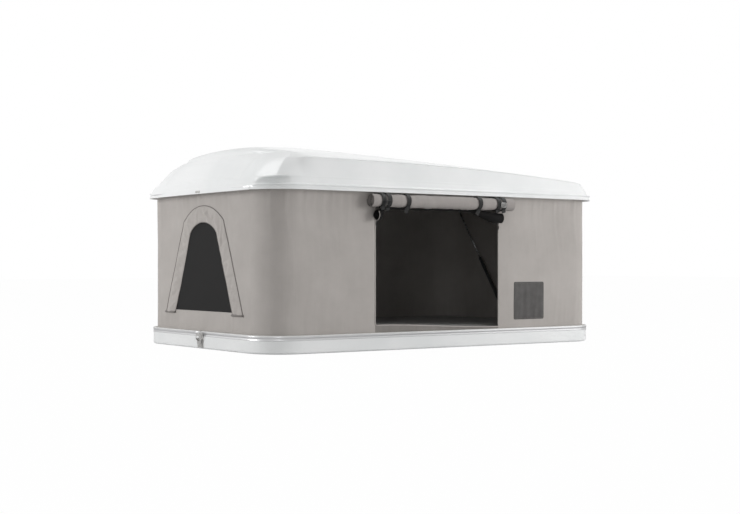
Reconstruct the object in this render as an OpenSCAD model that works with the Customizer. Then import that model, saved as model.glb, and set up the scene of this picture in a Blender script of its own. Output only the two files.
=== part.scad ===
// Hard-shell rooftop tent with a roof that lifts straight up, shown open.
// The origin is the centre of the base's underside. X runs along the long side,
// -Y is the side with the open door and +Z is up. Sizes are in millimetres.

/* [Base] */
// Length of the base along X
base_l = 2100; // [1900:10:2300]
// Width of the base along Y
base_w = 1300; // [1200:10:1500]
// Plan radius of the base's corners
corner_r = 185; // [160:5:240]
// Height of the white tray that shows below the trim
tray_h = 62; // [56:1:90]
// Thickness of the moulded tray
tray_t = 4; // [3:0.5:6]
// Radius of the tray's lower edge
tray_edge_r = 10; // [6:1:16]
// Thickness of the insulated floor, panel and core together
floor_t = 40; // [34:1:46]

/* [Perimeter trim] */
// Height of the trim's outer face
trim_h = 24; // [20:1:32]
// Thickness of the trim's metal
trim_t = 3.5; // [2.5:0.5:4.5]
// How far the trim stands out from the tray
trim_out = 2; // [1:0.5:4]
// Width of the trim's top flange
trim_w = 28; // [26:1:34]

/* [Mounting rails] */
// Width of one rail
rail_w = 40; // [36:1:50]
// Height of one rail
rail_h = 20; // [18:1:26]
// Thickness of the rail's walls
rail_t = 3; // [2:0.5:4]
// Width of the slot in the rail's underside
rail_slot_w = 16; // [12:1:20]
// Distance between the two rails' centre lines
rail_spacing = 780; // [600:10:900]
// Length of the rails
rail_l = 1800; // [1200:10:1850]

/* [Walls] */
// Thickness of the wall fabric in this model
wall_t = 3; // [2:0.5:5]
// Distance from the base's outline to the fabric's outer face
wall_inset = 20.5; // [18:0.5:24]
// Thickness of a panel sewn on the wall
patch_t = 1.5; // [1:0.5:4]

/* [Door] */
// Left edge of the doorway
door_left = -436; // [-560:1:-200]
// Right edge of the doorway
door_right = 340; // [200:1:560]
// Height of the doorway's sill above the underside
door_sill = 109; // [100:1:160]
// Height of the doorway's upper edge
door_head = 715; // [600:1:735]
// Radius of the rolled door flap
flap_r = 36; // [28:0.5:38]
// How far the rolled flap runs past each side of the doorway
flap_over = 64; // [20:1:120]
// Radius of the rolled insect net
net_r = 21; // [14:0.5:24]
// Width of a strap round the rolled flap
strap_w = 24; // [16:1:40]
// Thickness of a strap
strap_t = 1.8; // [1:0.2:2]

/* [Windows] */
// Half width of the window's surround at the bottom
hood_half_w = 395; // [330:1:420]
// Height of the surround's lower edge
hood_low = 172; // [140:1:220]
// Half width of the surround at its shoulders
hood_half_s = 210; // [170:1:260]
// Height of the surround's shoulders
hood_shoulder = 625; // [560:1:650]
// Height of the top of the surround's arch
hood_top = 703; // [670:1:740]
// Thickness of the surround
hood_t = 4; // [2:0.5:6]
// Half width of the netting at the bottom
mesh_half_w = 293; // [230:1:310]
// Height of the netting's lower edge
mesh_low = 184; // [180:1:240]
// Half width of the netting at its shoulders
mesh_half_s = 137; // [100:1:160]
// Height of the netting's shoulders
mesh_shoulder = 570; // [500:1:580]
// Height of the top of the netting's arch
mesh_top = 622; // [600:1:660]

/* [Mattress] */
// Gap between the mattress and each end of the base
mattress_end_gap = 105; // [90:5:200]
// Gap between the mattress and each long side of the base
mattress_side_gap = 60; // [50:5:120]
// Thickness of the mattress
mattress_t = 60; // [40:1:62]

/* [Roof] */
// How far the closed roof's lower edge hangs below the top of the trim
rim_lap = 1.5; // [0.5:0.5:4]
// How far the roof's rim stands out past the base's outline
rim_out = 21; // [18:0.5:30]
// Height of the roof's rim flange
rim_h = 19.5; // [18:0.5:26]
// Thickness of the moulded roof
roof_t = 4; // [3:0.5:6]
// Rise of the roof's ridges above its lower edge at the high end
crest_h = 180; // [160:1:220]
// Distance from the base's centre back to where the roof line starts to fall
crest_back = 850; // [700:10:900]
// How far the roof line has fallen one metre past that place
roof_drop = 41; // [20:1:60]
// Rise of the roof's middle above its ridges
crown_h = 63; // [30:1:80]
// Depth of the long recess under the side panels
recess_d = 30; // [10:1:32]
// Distance of the ridges from the roof's long edges
ridge_in = 118; // [90:1:160]
// Thickness of the padded lining
liner_t = 8; // [4:1:14]
// Width of the frame inside the roof's rim
frame_w = 56; // [50:1:70]
// Height of the frame inside the roof's rim
frame_h = 10; // [6:1:10]
// Height of the frame's underside above the roof's lower edge
frame_up = 7; // [6:1:8]

/* [Lift] */
// How far the roof travels between closed and open
lift_travel = 675; // [600:1:700]
// Distance from the base's end to the plane of the gas springs
spring_in = 75; // [70:1:100]
// Distance of a spring's lower pivot from the middle of the end
spring_foot_y = 30; // [24:1:60]
// Distance of a spring's upper pivot from the middle of the end
spring_head_y = 515; // [400:5:520]
// Height of a spring's lower pivot
spring_foot_z = 105; // [96:1:110]
// Height of a closed spring's upper pivot above its lower one
spring_fold = 20; // [18:1:22]
// Outer radius of a spring's cylinder
spring_tube_r = 10; // [8:0.5:12]
// Radius of a spring's rod
spring_rod_r = 4; // [3:0.5:6]
// Radius of the studs that a spring turns on
stud_r = 4; // [3:0.5:5]

/* [Latches] */
// Sideways place of each latch on its end
latch_y = -20; // [-100:1:100]
// Width of a latch's back plate
latch_w = 42; // [40:1:60]
// Thickness of a latch's back plate
latch_plate_t = 4; // [3:0.5:5]
// Height of a latch lever's pivot
latch_pivot_z = 50; // [46:1:52]
// Distance of a latch lever's pivot from the tray's face
latch_pivot_out = 13; // [12:0.5:15]
// Distance between a lever's two pivots
latch_crank = 6; // [5:0.5:7]
// Radius of a latch's pins
latch_pin_r = 1.5; // [1:0.1:2]
// Thickness of a latch's pressed sheet
latch_sheet_t = 2; // [1.5:0.1:2.4]

/* [Hidden] */
// Gap between pieces that lie against each other
fit_gap = 0.3;
// Gap round a pin that turns in its hole
pin_gap = 0.1;
// Overlap that makes a cut run cleanly past a face
cut = 1;
$fn = 64;

trim_top = tray_h + trim_h;
floor_top = tray_t + floor_t;
rim_z = trim_top - rim_lap + lift_travel;
rim_l = base_l / 2 + rim_out;
rim_w = base_w / 2 + rim_out;
rim_r = corner_r + rim_out;
frame_z = rim_z + frame_up;
frame_top = frame_z + frame_h;
wall_out = -wall_inset;
wall_low = trim_top + fit_gap;
wall_high = frame_z - fit_gap;
spring_x = base_l / 2 - spring_in;
spring_head_z = spring_foot_z + spring_fold + lift_travel;
flap_y = -(base_w / 2 - wall_inset + flap_r + strap_t + fit_gap);
flap_z = rim_z - flap_r - strap_t - 2 * fit_gap;

// A rounded rectangle: the base's outline moved out by d.
module plan(d) {
  r = corner_r + d;
  hull_l = base_l - 2 * corner_r;
  hull_w = base_w - 2 * corner_r;
  square([hull_l + 2 * r, hull_w], center = true);
  square([hull_l, hull_w + 2 * r], center = true);
  for (sx = [-1, 1]) {
    for (sy = [-1, 1]) {
      translate([sx * hull_l / 2, sy * hull_w / 2]) circle(r, $fn = 96);
    }
  }
}

module plan_slab(d, z0, z1) {
  translate([0, 0, z0]) linear_extrude(z1 - z0) plan(d);
}

// A profile carried along one long side and round its two corners. The profile's x
// is the distance outside the base's outline and its y is the height.
module long_side(sy) {
  mirror([0, sy > 0 ? 1 : 0, 0]) {
    translate([-(base_l / 2 - corner_r), -base_w / 2, 0]) {
      rotate([90, 0, 90]) linear_extrude(base_l - 2 * corner_r) mirror([1, 0]) children();
    }
    for (sx = [0, 1]) {
      mirror([sx, 0, 0]) translate([base_l / 2 - corner_r, -(base_w / 2 - corner_r), 0]) {
        rotate([0, 0, -90]) rotate_extrude(angle = 90, $fn = 96) translate([corner_r, 0]) children();
      }
    }
  }
}

// The same profile carried along the flat part of one end.
module end_side(sx, y0, y1) {
  mirror([sx < 0 ? 1 : 0, 0, 0]) translate([base_l / 2, y1, 0]) {
    rotate([90, 0, 0]) linear_extrude(y1 - y0) children();
  }
}

flat_half_w = base_w / 2 - corner_r;

module whole_loop() {
  long_side(-1) children();
  long_side(1) children();
  end_side(-1, -flat_half_w, flat_half_w) children();
  end_side(1, -flat_half_w, flat_half_w) children();
}

// Base

module tray_profile() {
  difference() {
    union() {
      translate([-tray_edge_r - tray_t, tray_edge_r]) {
        square([tray_edge_r + tray_t, tray_h - tray_edge_r]);
      }
      translate([-tray_edge_r - tray_t, 0]) square([tray_t, tray_edge_r]);
      intersection() {
        translate([-tray_edge_r, tray_edge_r]) circle(tray_edge_r);
        translate([-tray_edge_r, 0]) square(tray_edge_r);
      }
      translate([trim_out - trim_t - tray_t, tray_h]) square([tray_t, trim_h - trim_t]);
    }
    translate([-tray_edge_r - tray_t - cut, tray_t]) {
      square([tray_edge_r + cut - trim_t + trim_out, trim_top]);
    }
  }
}

module base_tray() {
  color("white") difference() {
    union() {
      plan_slab(-tray_edge_r - tray_t, 0, tray_t);
      whole_loop() tray_profile();
    }
    for (sy = [-1, 1]) rail_space(sy);
  }
}

module rail_space(sy) {
  translate([-rail_l / 2 - fit_gap, sy * rail_spacing / 2 - rail_w / 2 - fit_gap, -cut]) {
    cube([rail_l + 2 * fit_gap, rail_w + 2 * fit_gap, rail_h + cut + fit_gap]);
  }
}

floor_in = trim_out - trim_t - tray_t - fit_gap;

// The core's strips, in front of, between and behind the rails.
module floor_core() {
  color("khaki") difference() {
    plan_slab(floor_in, tray_t, rail_h + fit_gap);
    for (sy = [-1, 1]) {
      translate([-base_l / 2, sy * rail_spacing / 2 - rail_w / 2 - fit_gap, 0]) {
        cube([base_l, rail_w + 2 * fit_gap, floor_top]);
      }
    }
  }
}

module floor_panel() {
  color("gainsboro") plan_slab(floor_in, rail_h + fit_gap, floor_top);
}

module trim_profile() {
  translate([trim_out - trim_t, tray_h]) square([trim_t, trim_h]);
  translate([trim_out - trim_w, trim_top - trim_t]) square([trim_w, trim_t]);
}

// Half of the perimeter trim: one long side, its corners and half of each end.
module half_trim(sy) {
  color("silver") {
    long_side(sy) trim_profile();
    for (sx = [-1, 1]) {
      if (sy < 0) end_side(sx, -flat_half_w, latch_y) trim_profile();
      else end_side(sx, latch_y, flat_half_w) trim_profile();
    }
  }
}

module mount_rail(sy) {
  color("silver") translate([0, sy * rail_spacing / 2, 0]) {
    rotate([90, 0, 90]) linear_extrude(rail_l, center = true) difference() {
      translate([-rail_w / 2, 0]) square([rail_w, rail_h]);
      translate([-rail_w / 2 + rail_t, rail_t]) square([rail_w - 2 * rail_t, rail_h - 2 * rail_t]);
      translate([-rail_slot_w / 2, -cut]) square([rail_slot_w, rail_t + 2 * cut]);
    }
  }
}

mattress_l = base_l - 2 * mattress_end_gap;
mattress_w = base_w - 2 * mattress_side_gap;
mattress_corner_in = 15;
mattress_r = corner_r - mattress_corner_in;

module mattress() {
  color("dimgray") translate([0, 0, floor_top + fit_gap]) linear_extrude(mattress_t) {
    square([mattress_l - 2 * mattress_r, mattress_w], center = true);
    square([mattress_l, mattress_w - 2 * mattress_r], center = true);
    for (sx = [-1, 1]) {
      for (sy = [-1, 1]) {
        translate([sx * (mattress_l / 2 - mattress_r), sy * (mattress_w / 2 - mattress_r)]) {
          circle(mattress_r, $fn = 96);
        }
      }
    }
  }
}

// Walls

module wall_profile() {
  translate([wall_out - wall_t, wall_low]) square([wall_t, wall_high - wall_low]);
}

module door_hole() {
  translate([door_left, -base_w, door_sill]) {
    cube([door_right - door_left, base_w, door_head - door_sill]);
  }
}

module front_wall() {
  color("darkgray") difference() {
    long_side(-1) wall_profile();
    door_hole();
  }
}

module back_wall() {
  color("darkgray") long_side(1) wall_profile();
}

// A trapezoid under an arch, as a flat outline with Y across and Z up.
module arch(half_w, low, half_s, shoulder, top) {
  rise = top - shoulder;
  arc_r = (half_s * half_s + rise * rise) / (2 * rise);
  half_angle = asin(half_s / arc_r);
  steps = 16;
  arc = [for (i = [0 : steps]) half_angle - 2 * half_angle * i / steps];
  polygon(concat(
    [[-half_w, low], [half_w, low]],
    [for (a = arc) [arc_r * sin(a), top - arc_r + arc_r * cos(a)]]
  ));
}

module mesh_outline() {
  arch(mesh_half_w, mesh_low, mesh_half_s, mesh_shoulder, mesh_top);
}

module hood_outline() {
  arch(hood_half_w, hood_low, hood_half_s, hood_shoulder, hood_top);
}

// A flat outline stood up on one end wall, from d0 to d1 outside the base's outline.
module on_end(sx, d0, d1) {
  mirror([sx < 0 ? 1 : 0, 0, 0]) translate([base_l / 2 + d0, 0, 0]) {
    rotate([90, 0, 90]) linear_extrude(d1 - d0) children();
  }
}

module end_wall(sx) {
  color("darkgray") difference() {
    end_side(sx, -flat_half_w, flat_half_w) wall_profile();
    on_end(sx, wall_out - wall_t - cut, wall_out + cut) mesh_outline();
  }
}

module window_net(sx) {
  color("black") on_end(sx, wall_out - wall_t, wall_out) {
    mesh_outline();
  }
}

module window_surround(sx) {
  color("gray") on_end(sx, wall_out, wall_out + hood_t) difference() {
    hood_outline();
    mesh_outline();
  }
}

module back_door_flap() {
  color("darkgray") translate([door_left, base_w / 2 - wall_inset, door_sill]) {
    cube([door_right - door_left, patch_t, door_head - door_sill]);
  }
}

// The bare patch sewn to the wall beside the door.
patch_left = 445;
patch_low = 128;
patch_w = 209;
patch_h = 195;

module blank_patch() {
  color("dimgray") translate([patch_left, -base_w / 2 + wall_inset - patch_t, patch_low]) {
    cube([patch_w, patch_t, patch_h]);
  }
}

// Roof. It is a stack of rings. Each ring is the outer outline of two rounded rectangles:
// the body, with its upright side panels and raked front corners, and the nose, which
// stands further forward and is narrower. Under the side panels runs a recess.

function smooth(a, b, x) =
  let (t = min(1, max(0, (x - a) / (b - a)))) t * t * (3 - 2 * t);

// How far the roof line has fallen at a place along X.
function fall(x) =
  let (s = max(0, x + crest_back) / 1000) roof_drop * (0.68 * s + 0.32 * s * s);

panel_low = rim_h + 39.5;
rise = crest_h - panel_low;
cross = rim_w - ridge_in;

// Each row: height, front inset, side inset, front corner radius, end inset, the nose's front
// inset, side inset and corner radius, share of the recess, share of the roof line's fall,
// and which way the inner skin goes in height.
roof_rows = [
  [0, 0, 0, rim_r, 0, 0, 0, rim_r, 0, 0, 0],
  [rim_h, 0, 0, rim_r, 0, 0, 0, rim_r, 0, 0, -0.2],
  [rim_h + 3, 2, 0, rim_r, 1, 1, 0, rim_r, 0.12, 0, -0.6],
  [rim_h + 6, 2, 0, rim_r, 1, 1, 0, rim_r, 0, 0, -0.9],
  [rim_h + 9.5, 3, 0, rim_r, 2, 2, 0, rim_r, 0.15, 0, -1],
  [rim_h + 14.5, 4, 2, rim_r, 4, 3, 10, rim_r, 1, 0, -1],
  [rim_h + 32.5, 8, 4, rim_r, 12, 5, 30, rim_r, 1, 0.1, 0.5],
  [panel_low, 12, 24, rim_r, 18, 8, 60, 200, 0, 0.15, 0.3],
  [panel_low + 0.17 * rise, 28, 27, rim_r, 26, 14, 110, 170, 0, 0.3, 0],
  [panel_low + 0.34 * rise, 46, 28, 225, 32, 22, 150, 160, 0, 0.45, 0],
  [panel_low + 0.55 * rise, 66, 29, 255, 38, 32, 160, 150, 0, 0.62, 0],
  [panel_low + 0.71 * rise, 84, 31, 280, 44, 43, 160, 150, 0, 0.8, 0],
  [panel_low + 0.785 * rise, 94, 37, 300, 52, 50, 158, 150, 0, 0.9, -0.4],
  [panel_low + 0.835 * rise, 104, 50, 310, 62, 56, 155, 150, 0, 0.95, -0.7],
  [panel_low + 0.917 * rise, 122, 85, 320, 78, 66, 148, 150, 0, 1, -0.9],
  [crest_h, 145, ridge_in, 330, 100, 80, 140, 160, 0, 1, -1],
  [crest_h + 0.25 * crown_h, 170, rim_w - 0.89 * cross, 330, 150, 100, 190, 200, 0, 1, -1],
  [crest_h + 0.51 * crown_h, 195, rim_w - 0.74 * cross, 300, 220, 130, 270, 280, 0, 1, -1],
  [crest_h + 0.76 * crown_h, 235, rim_w - 0.58 * cross, 250, 330, 185, 360, 280, 0, 1, -1],
  [crest_h + 0.92 * crown_h, 300, rim_w - 0.4 * cross, 200, 470, 270, 460, 200, 0, 1, -1],
  [crest_h + crown_h, 410, rim_w - 0.2 * cross, 100, 600, 400, 560, 100, 0, 1, -1]
];

corner_steps = 9;
side_steps = 14;
flat_l = rim_l - rim_r;
flat_w = rim_w - rim_r;

// Places round the rim: [x, y, direction out as an angle from the -X end].
corner_angles = [for (i = [0 : corner_steps]) 90 * i / corner_steps];
rim_places = concat(
  [for (a = corner_angles) [-flat_l - rim_r * sin(a), -flat_w - rim_r * cos(a), 90 - a]],
  [for (t = [-0.8, -0.6, -0.4, -0.2, 0, 0.2, 0.4, 0.6, 0.8]) [-rim_l, t * flat_w, 0]],
  [for (a = corner_angles) [-flat_l - rim_r * cos(a), flat_w + rim_r * sin(a), a]],
  [for (i = [1 : side_steps - 1]) [flat_l * (2 * i / side_steps - 1), rim_w, 90]],
  [for (a = corner_angles) [flat_l + rim_r * sin(a), flat_w + rim_r * cos(a), 90]],
  [for (t = [0.8, 0.6, 0.4, 0.2, 0, -0.2, -0.4, -0.6, -0.8]) [rim_l, t * flat_w, 90]],
  [for (a = corner_angles) [flat_l + rim_r * cos(a), -flat_w - rim_r * sin(a), 90]],
  [for (i = [1 : side_steps - 1]) [flat_l * (1 - 2 * i / side_steps), -rim_w, 90]]
);

// Distance from c along d to a rounded rectangle that is inset from the rim.
function reach(c, d, front, end, side, rf, re) =
  let (
    x = d[0] < 0 ? rim_l - front : rim_l - end,
    y = rim_w - side,
    r = min(d[0] < 0 ? rf : re, y - 1),
    u = [abs(d[0]), abs(d[1])],
    p = [d[0] < 0 ? -c[0] : c[0], abs(c[1])],
    tx = u[0] > 0.0001 ? (x - p[0]) / u[0] : 9999,
    ty = u[1] > 0.0001 ? (y - p[1]) / u[1] : 9999,
    t = min(tx, ty),
    q = p - [x - r, y - r],
    hit = q + u * t,
    b = q * u,
    root = b * b - q * q + r * r
  )
  min(hit[0], hit[1]) > 0 && root > 0 ? -b + sqrt(root) : t;

// The rings close on the outline of an inner rectangle, which stays inside the small ones.
spine_in = 471;
spine_end_in = 271;
spine_gap = 100;
// How softly the nose runs into the body
blend = 6;
// How far the nose's corners fall back, and at what distance from its middle
nose_back = 90;
nose_back_y = 500;
// Where the recess starts round the front corner, in degrees from the -X end
recess_start = 10;
recess_full = 22;
// Between these two places along X the recess grows shallower, by this share
recess_fade_from = -0.84 * rim_l;
recess_fade_to = 0.37 * rim_l;
recess_fade = 0.6;

function ring(row, depth) =
  let (
    spine_front = rim_l - max(spine_in, row[5] + spine_gap),
    spine_end = rim_l - max(spine_end_in, row[4] + spine_gap),
    spine_w = min(rim_w - spine_in, 0.6 * (rim_w - max(row[2], row[6]))),
    soft = 0.001 + blend * row[9]
  )
  [
    for (place = rim_places)
      let (
        c = [min(max(place[0], -spine_front), spine_end), min(max(place[1], -spine_w), spine_w)],
        out = [place[0], place[1]] - c,
        d = out / norm(out),
        along = smooth(recess_fade_from, recess_fade_to, place[0]),
        start = smooth(recess_start, recess_full, place[2]),
        hollow = recess_d * row[8] * start * (1 - recess_fade * along),
        body = reach(c, d, row[1] + depth, row[4] + depth, row[2] + depth, row[3] - depth, rim_r - depth) - hollow,
        ahead = reach(c, d, row[5] + depth, row[4] + depth, row[6] + depth, row[7] - depth, rim_r - depth),
        off = (c + d * ahead)[1] / nose_back_y,
        bulge = place[0] < -flat_l ? nose_back * min(1, row[0] / crest_h) * off * off : 0,
        gap = body - ahead + bulge,
        t = abs(gap) > soft
          ? max(body, ahead - bulge)
          : body - gap / 2 + gap * gap / (4 * soft) + soft / 4,
        p = c + d * t
      )
      [p[0], p[1], rim_z + row[0] - fall(p[0]) * row[9] + depth * row[10]]
  ];

function skin(depth, first) =
  [for (i = [first : len(roof_rows) - 1]) ring(roof_rows[i], depth)];

// A closed shell between two depths, made of rings: inside down, then outside up.
module shell_between(d0, d1, first) {
  outer = skin(d0, first);
  inner = skin(d1, first);
  rings = concat([for (i = [len(inner) - 1 : -1 : 0]) inner[i]], outer);
  n = len(rings[0]);
  points = [for (r = rings) for (p = r) p];
  last = len(rings) - 1;
  walls = [
    for (k = [0 : last - 1])
      for (i = [0 : n - 1])
        let (a = k * n + i, b = k * n + (i + 1) % n)
          for (f = k < len(inner) - 1 ? [[a, a + n, b + n], [a, b + n, b]] : [[a, a + n, b], [b, a + n, b + n]]) f
  ];
  // Place k of a ring faces place fold - k across the middle.
  fold = 2 * corner_steps + 10;
  strips = [
    for (k = [fold / 2 : fold / 2 + n / 2 - 1])
      let (m = (k + 1) % n, across_k = (fold - k + n) % n, across_m = (fold - k - 1 + n) % n)
        for (f = [[k, m, across_k], [m, across_m, across_k]]) f
  ];
  cap = [for (f = strips) if (f[0] != f[1] && f[1] != f[2] && f[0] != f[2]) f];
  polyhedron(
    points,
    concat(walls, cap, [for (f = cap) [for (v = [f[0], f[2], f[1]]) v + last * n]])
  );
}

module roof_shell() {
  color("white") shell_between(0, roof_t, 0);
}

module roof_lining() {
  color("gray") shell_between(roof_t + fit_gap, roof_t + liner_t, 7);
}

// The outline of the rim's inner face, moved in by d.
module rim_outline(d) {
  polygon([for (p = ring(roof_rows[0], roof_t + d)) [p[0], p[1]]]);
}

module roof_frame() {
  color("silver") translate([0, 0, frame_z]) linear_extrude(frame_h) difference() {
    rim_outline(fit_gap);
    rim_outline(frame_w);
  }
}

// Gas springs, two at each end in a V

spring_run = sqrt(pow(spring_head_y - spring_foot_y, 2) + pow(spring_head_z - spring_foot_z, 2));
spring_tilt = atan((spring_head_y - spring_foot_y) / (spring_head_z - spring_foot_z));
eye_r = 9;
eye_w = 10;
eye_lap = 0.5;
eye_gap = 2;
spring_tube_share = 0.5;

module eye() {
  rotate([0, 90, 0]) difference() {
    cylinder(r = eye_r, h = eye_w, center = true);
    cylinder(r = stud_r + pin_gap, h = eye_w + 2 * cut, center = true);
  }
}

module gas_spring(sx, sy) {
  color("black") translate([sx * spring_x, sy * spring_foot_y, spring_foot_z]) {
    rotate([-sy * spring_tilt, 0, 0]) {
      eye();
      translate([0, 0, eye_r - eye_lap]) {
        cylinder(r = spring_tube_r, h = spring_run * spring_tube_share);
      }
      translate([0, 0, eye_r - 2 * eye_lap]) {
        cylinder(r = spring_rod_r, h = spring_run - 2 * eye_r + 3 * eye_lap);
      }
      translate([0, 0, spring_run]) eye();
    }
  }
}

bracket_t = 5;
stud_past = 1.5;

// The bracket on the floor that carries both springs of one end.
foot_past = 32;
foot_half_w = spring_foot_y + foot_past;
foot_off = spring_tube_r + eye_gap;
foot_base_w = 26;

module spring_foot(sx) {
  color("dimgray") mirror([sx < 0 ? 1 : 0, 0, 0]) translate([spring_x, 0, 0]) {
    translate([foot_off, -foot_half_w, floor_top]) {
      cube([bracket_t, 2 * foot_half_w, spring_foot_z - floor_top + eye_r]);
      cube([foot_base_w, 2 * foot_half_w, bracket_t]);
    }
    for (sy = [-1, 1]) {
      translate([foot_off + bracket_t, sy * spring_foot_y, spring_foot_z]) rotate([0, -90, 0]) {
        cylinder(r = stud_r, h = foot_off + bracket_t + eye_w / 2 + stud_past);
      }
    }
  }
}

// The blocks on the roof frame that carry the upper ends of one end's springs.
head_w = 26;
head_l = 20;
head_off = eye_w / 2 + eye_gap;

module spring_heads(sx) {
  color("dimgray") mirror([sx < 0 ? 1 : 0, 0, 0]) {
    for (sy = [-1, 1]) {
      translate([spring_x + head_off, sy * spring_head_y - head_w / 2, frame_top]) {
        cube([head_l, head_w, spring_head_z + eye_r - frame_top]);
      }
      translate([spring_x + head_off + bracket_t, sy * spring_head_y, spring_head_z]) {
        rotate([0, -90, 0]) cylinder(r = stud_r, h = head_off + bracket_t + eye_w / 2 + stud_past);
      }
    }
  }
}

// Latches. Drawn looking along the end: x is the distance out from the tray's face.

module at_end(sx) {
  mirror([sx < 0 ? 1 : 0, 0, 0]) translate([base_l / 2, latch_y, 0]) children();
}

// A plate standing across the latch, between two places along Y.
module cheek(y0, y1) {
  translate([0, y1, 0]) rotate([90, 0, 0]) linear_extrude(y1 - y0) children();
}

plate_low = 8;
plate_high = trim_top - plate_low;
latch_gap = 1.5;
latch_lap = 0.5;
ear_in = 11.5;
ear_t = 2.5;
ear_r = 3.5;
crank_z = latch_pivot_z - latch_crank;
bail_in = ear_in + ear_t + latch_gap;
bail_stand = 7;
bail_out = latch_pivot_out + bail_stand;
bail_top = plate_high - 1;
bail_band = 13;

module latch_plate(sx) {
  color("silver") at_end(sx) {
    translate([0, -latch_w / 2, plate_low]) cube([latch_plate_t, latch_w, tray_h - plate_low]);
    translate([trim_out, -latch_w / 2, tray_h]) {
      cube([latch_plate_t - trim_out, latch_w, plate_high - tray_h]);
    }
    for (sy = [-1, 1]) {
      cheek(min(sy * ear_in, sy * (ear_in + ear_t)), max(sy * ear_in, sy * (ear_in + ear_t))) {
        translate([latch_plate_t - latch_lap, latch_pivot_z - ear_r]) {
          square([latch_pivot_out - latch_plate_t + latch_lap, 2 * ear_r]);
        }
        translate([latch_pivot_out, latch_pivot_z]) circle(ear_r);
      }
    }
    translate([latch_pivot_out, 0, latch_pivot_z]) rotate([90, 0, 0]) {
      cylinder(r = latch_pin_r, h = 2 * (ear_in + ear_t), center = true);
    }
  }
}

lever_half_w = ear_in - latch_gap;
lever_low = 4;
lever_foot = 18;
// The lever's side, from its back upper corner: distance out from the pivot, and height.
lever_side = [
  [-4, latch_pivot_z + 3], [4, latch_pivot_z + 3], [6, crank_z - 8],
  [5, lever_low + lever_foot], [2, lever_low + lever_foot], [-4, crank_z - 3]
];
lever_web_out = 3;
lever_web_top = crank_z - 6;
lever_tip = 0.5;

module latch_lever(sx) {
  color("silver") at_end(sx) {
    for (sy = [-1, 1]) {
      y0 = sy > 0 ? lever_half_w - latch_sheet_t : -lever_half_w;
      cheek(y0, y0 + latch_sheet_t) difference() {
        polygon([for (p = lever_side) [latch_pivot_out + p[0], p[1]]]);
        translate([latch_pivot_out, latch_pivot_z]) circle(latch_pin_r + pin_gap);
      }
    }
    translate([latch_pivot_out + lever_web_out, 0, 0]) rotate([90, 0, 90]) {
      linear_extrude(latch_sheet_t) polygon([
        [-lever_half_w, lever_web_top], [lever_half_w, lever_web_top],
        [lever_half_w * lever_tip, lever_low], [-lever_half_w * lever_tip, lever_low]
      ]);
    }
    translate([latch_pivot_out, 0, crank_z]) rotate([90, 0, 0]) {
      cylinder(r = latch_pin_r, h = 2 * (bail_in + latch_sheet_t + 1), center = true);
    }
  }
}

// The bail's side leg: a foot round the crank pin and an upright.
bail_foot = 3.5;
bail_foot_out = 3;
bail_side = [
  [latch_pivot_out - bail_foot, crank_z - bail_foot],
  [latch_pivot_out + bail_foot_out, crank_z - bail_foot],
  [bail_out + latch_sheet_t, crank_z + 4], [bail_out + latch_sheet_t, bail_top],
  [bail_out, bail_top], [bail_out, crank_z + 8],
  [latch_pivot_out - bail_foot, crank_z + bail_foot]
];

module latch_bail(sx) {
  color("silver") at_end(sx) {
    for (sy = [-1, 1]) {
      y0 = sy > 0 ? bail_in : -bail_in - latch_sheet_t;
      cheek(y0, y0 + latch_sheet_t) difference() {
        polygon(bail_side);
        translate([latch_pivot_out, crank_z]) circle(latch_pin_r + pin_gap);
      }
    }
    translate([bail_out, -bail_in - latch_sheet_t, bail_top - bail_band]) {
      cube([latch_sheet_t, 2 * (bail_in + latch_sheet_t), bail_band]);
    }
  }
}

keeper_low = rim_z + 5;
keeper_h = 10;
keeper_t = 1.5;
keeper_stud = 4;
keeper_stud_y = 13;

module keeper(sx) {
  color("silver") at_end(sx) {
    translate([rim_out, -latch_w / 2, keeper_low]) cube([keeper_t, latch_w, keeper_h]);
    for (y = [-keeper_stud_y, keeper_stud_y]) {
      translate([rim_out, y - keeper_stud / 2, keeper_low]) {
        cube([keeper_stud, keeper_stud, keeper_h]);
      }
    }
  }
}

// Rolled door flap and insect net, strapped up under the roof's rim

flap_l = door_right - door_left + 2 * flap_over;
net_in = 14;
net_short = 25;
net_z = flap_z - sqrt(pow(flap_r + strap_t + net_r + 1.5 * fit_gap, 2) - pow(net_in, 2));
net_y = flap_y + net_in;
strap_places = [-375, -255, 215, 370];

module rolled_door_flap() {
  color("darkgray") translate([door_left - flap_over, flap_y, flap_z]) {
    rotate([0, 90, 0]) cylinder(r = flap_r, h = flap_l);
  }
}

module rolled_insect_net() {
  color("black") translate([door_left + net_short, net_y, net_z]) {
    rotate([0, 90, 0]) cylinder(r = net_r, h = door_right - door_left - 2 * net_short);
  }
}

module flap_straps() {
  color("black") for (x = strap_places) {
    translate([x - strap_w / 2, flap_y, flap_z]) rotate([0, 90, 0]) difference() {
      cylinder(r = flap_r + strap_t + fit_gap / 2, h = strap_w);
      translate([0, 0, -cut]) cylinder(r = flap_r + fit_gap / 2, h = strap_w + 2 * cut);
    }
  }
}

base_tray();
floor_core();
floor_panel();
half_trim(-1);  // front_trim
half_trim(1);  // back_trim
mount_rail(-1);  // front_mount_rail
mount_rail(1);  // back_mount_rail
mattress();
front_wall();
back_wall();
end_wall(-1);  // left_wall
end_wall(1);  // right_wall
blank_patch();
back_door_flap();
window_surround(-1);  // left_window_surround
window_surround(1);  // right_window_surround
window_net(-1);  // left_window_net
window_net(1);  // right_window_net
spring_foot(-1);  // left_spring_foot
spring_foot(1);  // right_spring_foot
gas_spring(-1, -1);  // left_front_gas_spring
gas_spring(-1, 1);  // left_back_gas_spring
gas_spring(1, -1);  // right_front_gas_spring
gas_spring(1, 1);  // right_back_gas_spring
latch_plate(-1);  // left_latch_plate
latch_plate(1);  // right_latch_plate
latch_lever(-1);  // left_latch_lever
latch_lever(1);  // right_latch_lever
latch_bail(-1);  // left_latch_bail
latch_bail(1);  // right_latch_bail
roof_shell();
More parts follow.
